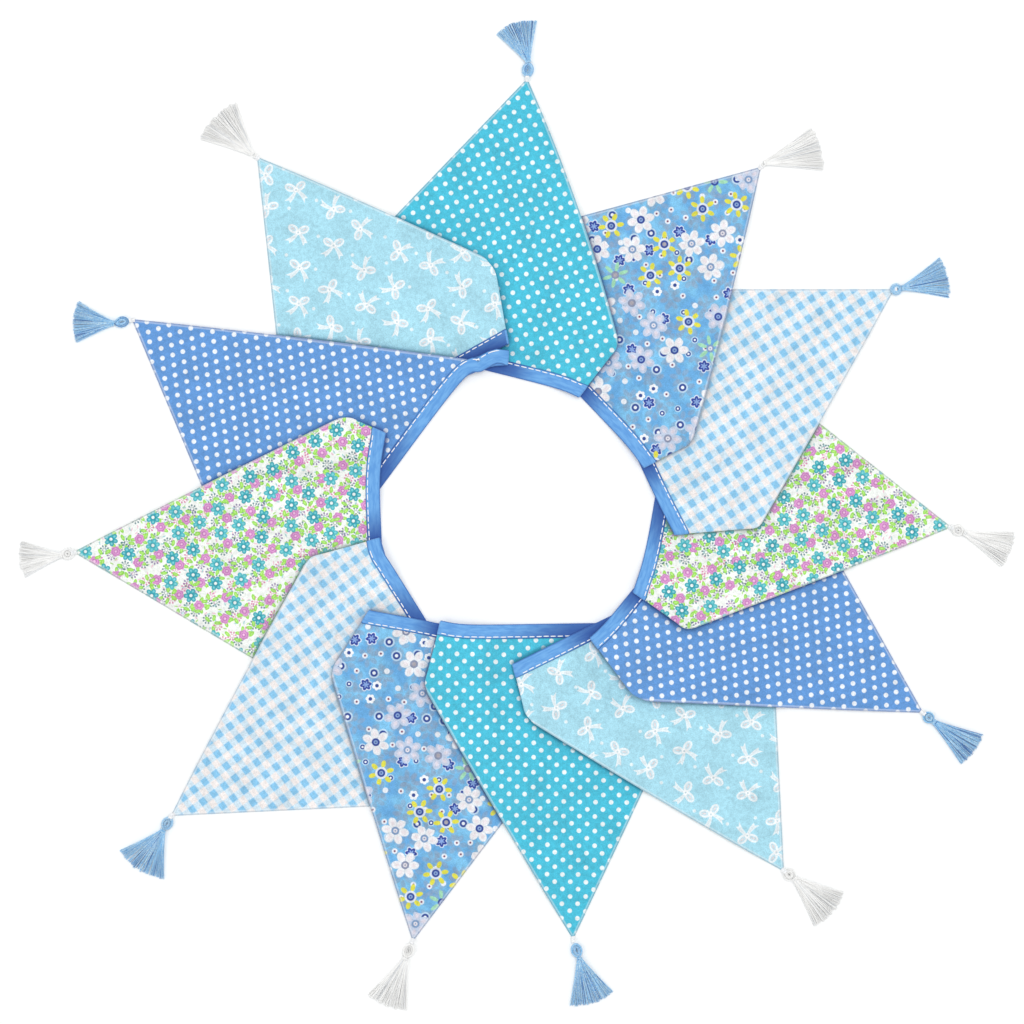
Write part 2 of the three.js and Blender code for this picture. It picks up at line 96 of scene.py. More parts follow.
# The pennants clockwise from the top: print, tip, hidden top corner, where the tape's inner edge starts
# to bend, its fold, bearing of the crease, bearing of the clockwise side from the tip, how far that side
# bulges, the soft shoulder's radius, and how far the folded side stands off the pennant below. Handles
# give the hidden tape's curve where the usual one would show
flagRows = [
    {"print": "turquoiseDot", "tip": (7.7, 287), "corner": (-150, 115.5), "bends": [(19.5, 73.4)],
     "fold": (42.7, 65.1), "crease": 38, "side": 162, "bulge": 6, "shoulder": 8, "lift": 0.5},
    {"print": "daisy", "tip": (170.8, 225.4), "corner": (-46.4, 160.7), "bends": [(70.4, 38.6)],
     "fold": (88.2, 16.3), "crease": 63, "side": 194.4, "bulge": 2, "shoulder": 8, "lift": 0.3},
    {"print": "gingham", "tip": (263.9, 140), "corner": (32.3, 135.5), "bends": [(94.6, 0.8)],
     "fold": (109.9, -30.1), "crease": 85.5, "side": 209.9, "bulge": 1, "shoulder": 3, "lift": 0.6},
    {"print": "posy", "tip": (303.8, -25.9), "corner": (117.3, 114.6), "bends": [(91.6, -36.8)],
     "fold": (81.9, -70), "crease": 125.5, "side": 249, "bulge": 1, "shoulder": 6, "lift": 2.2},
    {"print": "blueDot", "tip": (284.2, -155.4), "corner": (170.3, 39.6), "bends": [(67.9, -86.1)],
     "fold": (52.2, -102.2), "crease": 143.5, "side": 272.8, "bulge": 1, "shoulder": 13, "lift": 3.2},
    {"print": "bow", "tip": (186.9, -266), "corner": (171.7, -37), "bends": [(28, -106.4)],
     "fold": (-1.4, -120.9), "crease": 165.8, "side": 301, "bulge": 2, "shoulder": 9, "lift": 1.8},
    {"print": "turquoiseDot", "tip": (39.9, -313.6), "corner": (139, -92.2), "bends": [(-27.7, -94)],
     "fold": (-51.4, -91.4), "crease": 194.5, "side": 329.7, "bulge": 1, "shoulder": 8, "lift": 0.6},
    {"print": "daisy", "tip": (-72.1, -315), "corner": (69.6, -120.7), "bends": [(-62.3, -91.5)],
     "fold": (-101.1, -84.1), "crease": 212.6, "side": 343.3, "bulge": 1, "shoulder": 8, "lift": 0.5},
    {"print": "gingham", "tip": (-240.8, -227.5), "corner": (11.3, -210.4),
     "bends": [(-84, -56.9), (-92.3, -43.6)], "fold": (-94.6, -34.5), "crease": 254.5,
     "side": 28.6, "bulge": 2, "shoulder": 7, "lift": 0.5},
    {"print": "posy", "tip": (-308.7, -43.4), "corner": (-87.8, -167.9), "bends": [(-95.1, 1.4)],
     "fold": (-91, 38.2), "crease": 294.5, "side": 63.5, "bulge": 1, "shoulder": 9, "lift": 2.6},
    {"print": "blueDot", "tip": (-268.1, 119), "corner": (-170.7, -99.8),
     "bends": [(-41.3, 72.1), (-23.8, 82.6), (-13.3, 88.2)], "fold": (-7, 86.9), "crease": 4,
     "side": 96.9, "bulge": 1, "shoulder": 0, "lift": 0.6, "handles": (14, 80)},
    {"print": "bow", "tip": (-180.6, 232.4), "corner": (-153.1, 17.4), "bends": [(-36.2, 84.8)],
     "fold": (-6.3, 101.5), "crease": 350, "side": 114.6, "bulge": 2, "shoulder": 14, "lift": 2.6},
]
flagCount = len(flagRows)
flagNodes = sorted(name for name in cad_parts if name.startswith("flag_"))


# Unit vector of a bearing, clockwise from the top
def heading(degrees):
    turn = math.radians(degrees)
    return np.array([math.sin(turn), math.cos(turn)])


def leftOf(way):
    return np.stack([-way[..., 1], way[..., 0]], -1)


def crossOf(a, b):
    return a[..., 0] * b[..., 1] - a[..., 1] * b[..., 0]


# Points on the other side of a crease, as when cloth is folded over it
def mirrorIn(points, base, axis):
    away = points - base
    return base + 2 * (away @ axis)[..., None] * axis - away


# 0 below the low value and 1 above the high one, with a soft ramp between
def smooth(value, low, high):
    t = np.clip((value - low) / (high - low), 0, 1)
    return t * t * (3 - 2 * t)


# Where a value changes sign between two limits, to far less than a thousandth of a millimetre
def findRoot(valueAt, low, high):
    rising = valueAt(low) < 0
    for _ in range(40):
        middle = (low + high) / 2
        same = (valueAt(middle) < 0) == rising
        low, high = np.where(same, middle, low), np.where(same, high, middle)
    return (low + high) / 2


# The tape's inner edge: straight from the hidden corner, bent near the fold, straight past it
def traceEdge(row):
    corner, *bends, fold = (np.array(p, float) for p in (row["corner"], *row["bends"], row["fold"]))
    knots = [corner, (corner + bends[0]) / 2, *bends, fold]
    t = np.linspace(0, 1, tape["edgeSteps"])[:, None]
    places, ways = [], []
    last = len(knots) - 1
    for k in range(last):
        p0, p1, p2, p3 = (knots[min(last, max(0, k + n))] for n in (-1, 0, 1, 2))
        v0, v1 = (p2 - p0) / 2, (p3 - p1) / 2
        cubic, square = 2 * p1 - 2 * p2 + v0 + v1, 3 * p2 - 3 * p1 - 2 * v0 - v1
        places.append(cubic * t ** 3 + square * t ** 2 + v0 * t + p1)
        ways.append(3 * cubic * t ** 2 + 2 * square * t + v0)
    places, ways = np.concatenate(places), np.concatenate(ways)
    run = np.concatenate([[0], np.cumsum(np.linalg.norm(np.diff(places, axis=0), axis=1))])
    return {"run": run, "length": run[-1], "place": places,
            "way": ways / np.linalg.norm(ways, axis=1)[:, None]}


# Place at a distance along a tape's inner edge and a distance out from it, straight on past its ends
def edgeAt(edge, distance, out):
    distance, out = np.broadcast_arrays(np.asarray(distance, float), np.asarray(out, float))
    s = np.clip(distance, 0, edge["length"])
    place, way = (np.stack([np.interp(s, edge["run"], edge[name][:, a]) for a in (0, 1)], -1)
                  for name in ("place", "way"))
    return place + way * (distance - s)[..., None] + leftOf(way) * out[..., None]


# A pennant's outline worked out once: its flat cut, its crease and where they meet. In flat(u, f), u runs
# from the hidden side to the clockwise one and f from the tip to the tape
def layOut(index, row):
    edge = traceEdge(row)
    lay = {"index": index, "row": row, "edge": edge}
    tip, fold = np.array(row["tip"], float), np.array(row["fold"], float)
    crease, side = heading(row["crease"]), heading(row["side"])
    topOut = tape["width"] + tape["gap"]
    reach = (edge["length"] - 80, edge["length"] + 140)  # the crease and the side cross the tape in here

    def beyond(points):
        return -crossOf(crease, points - fold)

    def sideEnd(out):
        return findRoot(lambda s: crossOf(side, edgeAt(edge, s, out) - tip), *reach)

    def creaseEnd(out):
        return findRoot(lambda s: beyond(edgeAt(edge, s, out)), *reach)

    width = float(sideEnd(topOut))

    def flat(u, f):
        u, f = np.broadcast_arrays(np.asarray(u, float), np.asarray(f, float))
        point = tip + (edgeAt(edge, u * width, topOut) - tip) * f[..., None]
        return point + leftOf(side) * (row["bulge"] * u * 4 * f * (1 - f))[..., None]

    folds = float(beyond(flat(1, 1))) > 0
    shoulderAt = float(findRoot(lambda f: beyond(flat(1, f)), 0.3, 1)) if folds else 1.0
    sideLength = float(np.linalg.norm(flat(1, 1) - tip))
    foldStart = shoulderAt - row["shoulder"] / sideLength if folds else 2.0

    def creaseAt(f):
        if f < foldStart:
            return 1.0
        straight = float(findRoot(lambda u: beyond(flat(u, f)), 0.2, 1)) if f > shoulderAt else 1.0
        left = max(0, row["shoulder"] - abs(f - shoulderAt) * sideLength)
        return straight - left * left / (4 * row["shoulder"]) / (f * width)

    innerEnd, outerEnd = float(creaseEnd(0)), float(creaseEnd(tape["width"]))
    tapeSideEnd = float(sideEnd(tape["width"]))
    cornerEnd = tapeSideEnd if tapeSideEnd > outerEnd else max(innerEnd, outerEnd) + 2
    half = tape["width"] / 2
    lay.update(tip=tip, fold=fold, crease=crease, side=side, width=width, beyond=beyond,
               creaseEnd=creaseEnd, flat=flat, folds=folds, shoulderAt=shoulderAt,
               foldStart=foldStart, sideLength=sideLength, creaseAt=creaseAt, cornerEnd=cornerEnd,
               backWay=mirrorIn(edge["way"][-1], np.zeros(2), crease),
               underStart=mirrorIn(edgeAt(edge, cornerEnd + half, half), fold, crease))
    return lay


layouts = [layOut(index, row) for index, row in enumerate(flagRows)]


# The hidden run of tape, from the folded corner to the next pennant's hidden corner
def hiddenPath(lay, following):
    start = lay["underStart"]
    endWay = -following["edge"]["way"][0]
    target = edgeAt(following["edge"], 0, tape["width"] / 2)
    reach = np.linalg.norm(target - start)
    first, last = lay["row"].get("handles", (0.35 * reach, 0.35 * reach))
    t = np.linspace(0, 1, max(4, int(reach / tape["hiddenStep"])))[:, None]
    a, b, c, d = start, start + lay["backWay"] * first, target - endWay * last, target
    place = a * (1 - t) ** 3 + 3 * b * t * (1 - t) ** 2 + 3 * c * t * t * (1 - t) + d * t ** 3
    way = np.gradient(place, axis=0)
    way[0], way[-1] = lay["backWay"], endWay
    return place, way / np.linalg.norm(way, axis=1)[:, None]


for lay in layouts:
    following = layouts[(lay["index"] + 1) % flagCount]
    lay["hidden"], lay["hiddenWay"] = hiddenPath(lay, following)
    edge, flat, creaseAt = lay["edge"], lay["flat"], lay["creaseAt"]
    middleEnd, outerEnd = lay["creaseEnd"](tape["width"] / 2), lay["creaseEnd"](tape["width"])
    downSide = np.linspace(1, outlinePoints["atTip"], outlinePoints["side"])
    lay["outline"] = np.concatenate([
        edgeAt(edge, np.linspace(0, lay["creaseEnd"](0), outlinePoints["edge"]), 0),
        edgeAt(edge, [outerEnd], tape["width"]),
        flat([creaseAt(f) for f in downSide], downSide), flat([0.0], [outlinePoints["atTip"]])])
    corner = edgeAt(edge, [lay["creaseEnd"](0), lay["cornerEnd"], lay["cornerEnd"]],
                    [0, 0, tape["width"]])
    if lay["folds"]:
        rest = flat(1, np.linspace(1, lay["shoulderAt"], outlinePoints["corner"]))
    else:
        rest = edgeAt(edge, [outerEnd], tape["width"])
    lay["cornerOutline"] = mirrorIn(np.concatenate([corner, rest]), lay["fold"], lay["crease"])
    lay["tapeLine"] = edgeAt(edge, np.linspace(0, middleEnd, outlinePoints["edge"]), tape["width"] / 2)
    lay["shoulderAlong"] = float((flat(1, lay["shoulderAt"]) - lay["fold"]) @ lay["crease"])


# Distance from points to a polyline, and to a polygon's edge, negative inside it
def lineReach(points, line):
    a, b = line[:-1], line[1:]
    along = b - a
    share = np.clip(((points[:, None] - a) * along).sum(-1) / ((along ** 2).sum(-1) + 1e-9), 0, 1)
    return np.linalg.norm(points[:, None] - a - share[..., None] * along, axis=-1).min(1)


def outlineReach(points, polygon):
    reach = lineReach(points, np.vstack([polygon, polygon[:1]]))
    a, b = polygon, np.roll(polygon, -1, axis=0)
    x, y = points[:, None, 0], points[:, None, 1]
    crosses = (a[:, 1] > y) != (b[:, 1] > y)
    level = np.where(b[:, 1] == a[:, 1], 1e-9, b[:, 1] - a[:, 1])
    inside = (crosses & (x < a[:, 0] + (y - a[:, 1]) / level * (b[:, 0] - a[:, 0]))).sum(1) % 2 == 1
    return np.where(inside, -reach, reach)


# How far points are from the two pennants that lie over a pennant, negative beneath them. The painted shade
# under those pennants' edges is drawn from it
def coverReach(index, points):
    flatPoints = points.reshape(-1, 2)
    reaches = [outlineReach(flatPoints, layouts[(index - step) % flagCount]["outline"]) for step in (1, 2)]
    return np.minimum(*reaches).reshape(points.shape[:-1])


# 1 on a layer and 0 once the cloth over it is down beside it
def settle(reach):
    return 1 - smooth(reach, cloth["reachFlat"], cloth["reachFlat"] + cloth["reachDown"])


# How far a pennant stands off what it lies on: slow waves, the curl of its clockwise side, and the spring
# of its fold, which grows towards the shoulder and fades past it
def standOff(lay, points):
    start = lay["index"] * 1.7
    x, y = points[:, 0], points[:, 1]
    waves = np.sin(x / 17 + y / 41 + start) + np.sin(y / 13 - x / 37 + 2.3 * start)
    waves += np.sin((x + y) / 23 - start)
    inside = -lay["beyond"](points)
    along = (points - lay["fold"]) @ lay["crease"]
    fromTip = points - lay["tip"]
    fromSide = np.clip(-crossOf(lay["side"], fromTip), 0, None)
    curl = cloth["curl"] * np.exp(-(fromSide / cloth["curlReach"]) ** 2 / 2)
    curl *= smooth(fromTip @ lay["side"], *cloth["curlStart"])
    length = max(20, lay["shoulderAlong"])
    spring = smooth(along, -0.1 * length, 0.55 * length) * (1 - smooth(along, 1.15 * length, 2.2 * length))
    fade = np.exp(-(inside / cloth["springReach"]) ** 2)
    return cloth["waver"] * (1 + waves / 3) + curl + lay["row"]["lift"] * spring * fade


# Height of the middle of a pennant's top layer: all that lies below it there, summed
def layerHeight(index, points):
    flatPoints = points.reshape(-1, 2)
    height = np.full(len(flatPoints), cloth["rest"])
    nearTape = np.full(len(flatPoints), np.inf)
    for step in range(cloth["deepest"]):
        lay = layouts[(index + step) % flagCount]
        hiddenReach = lineReach(flatPoints, lay["hidden"]) - tape["width"] / 2
        under = np.minimum(outlineReach(flatPoints, lay["cornerOutline"]), hiddenReach)
        ownTape = lineReach(flatPoints, lay["tapeLine"]) - tape["width"] / 2
        nearTape = np.minimum(nearTape, np.minimum(hiddenReach, ownTape))
        height += cloth["underRise"] * settle(under)
        own = standOff(lay, flatPoints)
        if step == 0:
            height += own
        else:
            height += settle(outlineReach(flatPoints, lay["outline"])) * (cloth["layerRise"] + own)
    return (height + cloth["tapeLift"] * settle(nearTape)).reshape(points.shape[:-1])


# Gives a middle surface its thickness, with a soft round rim. Returns points, faces and, for each
# point, the number of the middle point that it came from
def thicken(points, quads, half, rimSteps=4):
    faces = [list(dict.fromkeys(quad)) for quad in quads]
    normals = np.zeros_like(points)
    for sides in (4, 3):
        face = np.array([q for q in faces if len(q) == sides])
        if len(face):
            a, b, c, d = (points[face[:, n]] for n in (0, 1, 2, -1))
            way = np.cross(c - a, d - b)
            for column in face.T:
                np.add.at(normals, column, way)
    normals /= np.linalg.norm(normals, axis=1)[:, None] + 1e-12
    edges = {(face[n], face[(n + 1) % len(face)]) for face in faces for n in range(len(face))}
    rim = {a: b for a, b in edges if (b, a) not in edges}
    before = {b: a for a, b in rim.items()}
    count = len(points)
    rimPoints = np.array(sorted(rim))
    ahead = points[[rim[a] for a in rimPoints]] - points[[before[a] for a in rimPoints]]
    outward = np.cross(ahead, normals[rimPoints])
    outward /= np.linalg.norm(outward, axis=1)[:, None] + 1e-12
    layers = [points + normals * half[:, None], points - normals * half[:, None]]
    sources = [np.arange(count)] * 2
    for k in range(1, rimSteps):
        angle = math.pi * k / rimSteps
        swing = normals[rimPoints] * math.cos(angle) + outward * math.sin(angle)
        layers.append(points[rimPoints] + swing * half[rimPoints, None])
        sources.append(rimPoints)
    place = {a: n for n, a in enumerate(rimPoints)}

    def ringNumber(a, k):
        if k in (0, rimSteps):
            return a + (count if k else 0)
        return 2 * count + (k - 1) * len(rimPoints) + place[a]

    allFaces = faces + [[n + count for n in reversed(face)] for face in faces]
    for a, b in rim.items():
        for k in range(rimSteps):
            allFaces.append([ringNumber(b, k), ringNumber(a, k),
                             ringNumber(a, k + 1), ringNumber(b, k + 1)])
    return np.concatenate(layers), allFaces, np.concatenate(sources)


# Four-sided faces between rows of point numbers
def weave(rows):
    quads = []
    for near, far in zip(rows[:-1], rows[1:]):
        for a, b, c, d in zip(near[:-1], near[1:], far[1:], far[:-1]):
            quads.append((int(a), int(b), int(c), int(d)))
    return quads


# A piece in the scene from points in millimetres, with what its materials read
def makeMesh(name, points, faces, attributes=()):
    mesh = bpy.data.meshes.new(name)
    shifted = np.array(points, float)
    shifted[:, :2] += ring["shift"]
    mesh.from_pydata((shifted * ring["toMetres"]).tolist(), [], faces)
    for key, kind, values in attributes:
        layer = mesh.attributes.new(key, kind, "POINT")
        field = "vector" if kind == "FLOAT_VECTOR" else "value"
        layer.data.foreach_set(field, np.ravel(values).astype(np.float32))
    mesh.polygons.foreach_set("use_smooth", [True] * len(mesh.polygons))
    mesh.validate()
    piece = bpy.data.objects.new(name, mesh)
    scene.collection.objects.link(piece)
    return piece


# Camera straight above, matched to the photo's frame, and a plain pale floor
cameraData = bpy.data.cameras.new("topCamera")
cameraData.lens, cameraData.sensor_width = ring["lens"], ring["sensor"]
camera = bpy.data.objects.new("topCamera", cameraData)
photoCentre = np.add(ring["photoCentre"], ring["shift"]) * ring["toMetres"]
cameraHeight = ring["photoWidth"] * ring["toMetres"] * cameraData.lens / cameraData.sensor_width
camera.location = (*photoCentre, cameraHeight)
scene.collection.objects.link(camera)
scene.camera = camera


# Colours are given as sRGB hex and turned linear here
def linear(hexColour):
    parts = [int(hexColour[n:n + 2], 16) / 255 for n in (0, 2, 4)]
    return (*[p / 12.92 if p <= 0.04045 else ((p + 0.055) / 1.055) ** 2.4 for p in parts], 1)


softRamp = {"interpolation_type": "SMOOTHSTEP"}
flatNoise = {"noise_dimensions": "2D"}


# Adds a node, links or sets its inputs in order, and gives back one of its outputs
def addNode(tree, kind, settings, *inputs, out=0):
    node = tree.nodes.new("ShaderNode" + kind)
    if isinstance(settings, str):
        settings = {"operation": settings}
    for key, value in settings.items():
        setattr(node, key, value)
    for n, value in enumerate(inputs):
        if isinstance(value, bpy.types.NodeSocket):
            tree.links.new(value, node.inputs[n])
        elif value is not None:
            node.inputs[n].default_value = value
    return node.outputs[out]


def newMaterial(name, roughness, sheen=0.0):
    material = bpy.data.materials.new(name)
    material.use_nodes = True
    shader = material.node_tree.nodes["Principled BSDF"]
    shader.inputs["Roughness"].default_value = roughness
    shader.inputs["Sheen Weight"].default_value = sheen
    shader.inputs["Specular IOR Level"].default_value = 0.3
    return material, material.node_tree, shader


# Painted board, rolled on and dull: an even pale ground that only shows the soft shadows
floorMaterial, _, floorShader = newMaterial("paintedPaleBoard", 0.9)
floorShader.inputs["Base Color"].default_value = linear("feffff")
bpy.ops.mesh.primitive_plane_add(size=8, location=(0, 0, 0))
floor = bpy.context.object
floor.name = "paleFloor"
floor.data.materials.append(floorMaterial)

# Even light from all round, and two wide soft lamps aimed at the ring's middle, in metres and watts
light = {
    "around": 0.74,
    "lamps": [{"name": "softTop", "place": (0.35, 0.45, 1.9), "size": 1.2, "power": 12.5},
              {"name": "softLeft", "place": (-1.3, -0.4, 1.5), "size": 1.0, "power": 4.0}],
}
world = bpy.data.worlds.new("softRoom")
world.use_nodes = True
background = world.node_tree.nodes["Background"]
background.inputs["Color"].default_value = (1, 1, 1, 1)
background.inputs["Strength"].default_value = light["around"]
scene.world = world
for values in light["lamps"]:
    lamp = bpy.data.lights.new(values["name"], "AREA")
    lamp.shape, lamp.size, lamp.energy = "DISK", values["size"], values["power"]
    lampObject = bpy.data.objects.new(values["name"], lamp)
    lampObject.location = values["place"]
    aim = -np.array(values["place"])
    tilt = math.atan2(math.hypot(aim[0], aim[1]), -aim[2])
    lampObject.rotation_euler = (tilt, 0, math.atan2(aim[1], aim[0]) + 1.5 * math.pi)
    scene.collection.objects.link(lampObject)
scene.view_settings.view_transform = "Standard"
print("camera, floor and light done")


# Puts a colour over another where a mask is 1
def paint(tree, below, colour, mask):
    over = colour if isinstance(colour, bpy.types.NodeSocket) else linear(colour)
    under = below if isinstance(below, bpy.types.NodeSocket) else linear(below)
    return addNode(tree, "Mix", {"data_type": "RGBA"}, mask, None, None, None, None, None, under, over, out=2)


# 1 below an edge value and 0 above it, with a soft step between
def below(tree, value, edge, softness=0.12):
    return addNode(tree, "MapRange", softRamp, value, edge - softness, edge + softness, 1, 0)


# 1 where a random value lies between two limits
def between(tree, value, low, high):
    above = addNode(tree, "Math", "GREATER_THAN", value, low)
    return addNode(tree, "Math", "MULTIPLY", above, addNode(tree, "Math", "LESS_THAN", value, high))


def times(tree, *values):
    product = values[0]
    for value in values[1:]:
        product = addNode(tree, "Math", "MULTIPLY", product, value)
    return product


# Prints inks over a colour in turn. Each row is an ink, a value, the edge below which the ink lies, how
# soft that edge is, and what else holds the ink back
def printInks(tree, colour, *rows):
    for ink, value, edge, softness, *masks in rows:
        colour = paint(tree, colour, ink, times(tree, below(tree, value, edge, softness), *masks))
    return colour


# Place on the cloth in millimetres, turned and moved for one layer of a print
def printPlace(tree, turn=0.0, shift=(0.0, 0.0)):
    onCloth = addNode(tree, "Attribute", {"attribute_name": "onCloth"}, out=1)
    inMillimetres = addNode(tree, "VectorMath", "SCALE", onCloth)
    inMillimetres.node.inputs["Scale"].default_value = 1 / ring["toMetres"]
    turned = addNode(tree, "VectorRotate", {"rotation_type": "Z_AXIS"}, inMillimetres)
    turned.node.inputs["Angle"].default_value = math.radians(turn)
    return addNode(tree, "VectorMath", "ADD", turned, (*shift, 0))


# One repeat of a print: place from the middle of its motif, and three random values for each motif
def scatter(tree, place, spacing, jitter=0.0, seed=0, stagger=0.5):
    size = (*spacing, 1)
    scaled = addNode(tree, "VectorMath", "DIVIDE", place, size)
    row = addNode(tree, "SeparateXYZ", {}, addNode(tree, "VectorMath", "FLOOR", scaled), out=1)
    moved = addNode(tree, "CombineXYZ", {}, addNode(tree, "Math", "MULTIPLY", row, stagger))
    cells = addNode(tree, "VectorMath", "ADD", scaled, moved)
    number = addNode(tree, "VectorMath", "FLOOR", cells)
    number = addNode(tree, "VectorMath", "ADD", number, (0, 0, seed + 0.5))
    chance = addNode(tree, "TexWhiteNoise", {"noise_dimensions": "3D"}, number, out=1)
    chance = addNode(tree, "VectorMath", "SUBTRACT", chance, (0.5, 0.5, 0))
    pushed = addNode(tree, "VectorMath", "MULTIPLY", chance, (2 * jitter, 2 * jitter, 0))
    centred = addNode(tree, "VectorMath", "FRACTION", cells)
    centred = addNode(tree, "VectorMath", "SUBTRACT", centred, (0.5, 0.5, 0))
    local = addNode(tree, "VectorMath", "MULTIPLY", centred, (*spacing, 0))
    local = addNode(tree, "VectorMath", "SUBTRACT", local, pushed)
    number = addNode(tree, "VectorMath", "ADD", number, (0.25, 0.25, 7))
    again = addNode(tree, "TexWhiteNoise", {"noise_dimensions": "3D"}, number, out=1)
    return local, *addNode(tree, "SeparateXYZ", {}, again).node.outputs


# Turns a motif by a random share of a full turn, and by an angle in degrees
def spin(tree, local, share, turn=0.0):
    angle = addNode(tree, "Math", "MULTIPLY_ADD", share, math.tau, math.radians(turn))
    spun = addNode(tree, "VectorRotate", {"rotation_type": "Z_AXIS"}, local)
    tree.links.new(angle, spun.node.inputs["Angle"])
    return spun


# How far out of an ellipse a point is: 1 on its edge
def ellipse(tree, local, middle, radii):
    moved = addNode(tree, "VectorMath", "SUBTRACT", local, (*middle, 0))
    scaled = addNode(tree, "VectorMath", "DIVIDE", moved, (*radii, 1))
    return addNode(tree, "VectorMath", "LENGTH", scaled, out=1)


# Folds a motif so that all its petals fall on one, which lies along X
def foldPetals(tree, local, count, share):
    parts = addNode(tree, "SeparateXYZ", {}, local).node.outputs
    angle = addNode(tree, "Math", "ARCTAN2", parts[1], parts[0])
    turns = addNode(tree, "Math", "MULTIPLY_ADD", angle, count / math.tau, share)
    inPetal = addNode(tree, "Math", "SUBTRACT", addNode(tree, "Math", "FRACT", turns), 0.5)
    folded = addNode(tree, "Math", "MULTIPLY", inPetal, math.tau / count)
    reach = addNode(tree, "VectorMath", "LENGTH", local, out=1)
    x = addNode(tree, "Math", "MULTIPLY", reach, addNode(tree, "Math", "COSINE", folded))
    y = addNode(tree, "Math", "MULTIPLY", reach, addNode(tree, "Math", "SINE", folded))
    return addNode(tree, "CombineXYZ", {}, x, y), reach


# White pin dots printed on a plain ground
def paintDots(tree, values):
    place = printPlace(tree, values["turn"], values["shift"])
    local, *_ = scatter(tree, place, values["spacing"], 0.16, 3, values["stagger"])
    reach = addNode(tree, "VectorMath", "LENGTH", local, out=1)
    return printInks(tree, values["ground"], (values["dot"], reach, values["radius"], 0.3))


# Woven checks: two sets of stripes, deepest where they cross
def paintGingham(tree, values):
    place = printPlace(tree, values["turn"])
    scaled = addNode(tree, "VectorMath", "DIVIDE", place, (*values["spacing"], 1))
    inCell = addNode(tree, "VectorMath", "FRACTION", scaled)
    inCell = addNode(tree, "VectorMath", "SUBTRACT", inCell, (0.5, 0.5, 0))
    inCell = addNode(tree, "VectorMath", "ABSOLUTE", inCell)
    across, along, _ = addNode(tree, "SeparateXYZ", {}, inCell).node.outputs
    warp, weft = below(tree, across, 0.25, 0.05), below(tree, along, 0.25, 0.05)
    colour = paint(tree, values["ground"], values["single"], addNode(tree, "Math", "MAXIMUM", warp, weft))
    return paint(tree, colour, values["double"], times(tree, warp, weft))


# Tossed ribbon bows: two loops, two forked tails and a knot each
def paintBows(tree, values):
    dotLocal, *_ = scatter(tree, printPlace(tree, 0, (15, 8)), values["spacing"], 4, 11)
    dotReach = addNode(tree, "VectorMath", "LENGTH", dotLocal, out=1)
    colour = printInks(tree, values["ground"], ("e6f5fa", dotReach, 1.2, 0.3))
    local, turn, *_ = scatter(tree, printPlace(tree), values["spacing"], 2.4, 5)
    for angle in values["tails"]:
        along, aside, _ = addNode(tree, "SeparateXYZ", {}, spin(tree, local, turn, angle)).node.outputs
        square = addNode(tree, "Math", "MULTIPLY", along, along)
        swept = addNode(tree, "Math", "MULTIPLY_ADD", square, values["sweep"], aside)
        across = addNode(tree, "Math", "ABSOLUTE", swept)
        halfWidth = addNode(tree, "Math", "MULTIPLY_ADD", along, 0.15, 0.6)
        side = addNode(tree, "Math", "SUBTRACT", across, halfWidth)
        forked = addNode(tree, "Math", "MULTIPLY_ADD", across, -0.7, along)
        end = addNode(tree, "Math", "SUBTRACT", forked, values["tailLength"])
        start = addNode(tree, "Math", "MULTIPLY", along, -1)
        reach = addNode(tree, "Math", "MAXIMUM", addNode(tree, "Math", "MAXIMUM", side, end), start)
        colour = printInks(tree, colour, ("f1f8fb", reach, 0.05, 0.25, 0.92),
                           ("dcebf1", reach, -0.75, 0.3, 0.7))
    for angle in values["loops"]:
        ribbon = spin(tree, local, turn, angle)
        colour = printInks(tree, colour,
                           ("f3f9fc", ellipse(tree, ribbon, (4.2, 0), (4.1, 2.8)), 1, 0.1, 0.94),
                           ("c3e2ee", ellipse(tree, ribbon, (4.5, 0), (2.6, 1.4)), 1, 0.25),
                           ("e6dadb", ellipse(tree, ribbon, (4.7, 0), (1.5, 0.65)), 1, 0.4, 0.8))
    knot = addNode(tree, "VectorMath", "LENGTH", local, out=1)
    return printInks(tree, colour, ("fbfdfe", knot, 1.6, 0.2), ("c9dde4", knot, 0.7, 0.3))


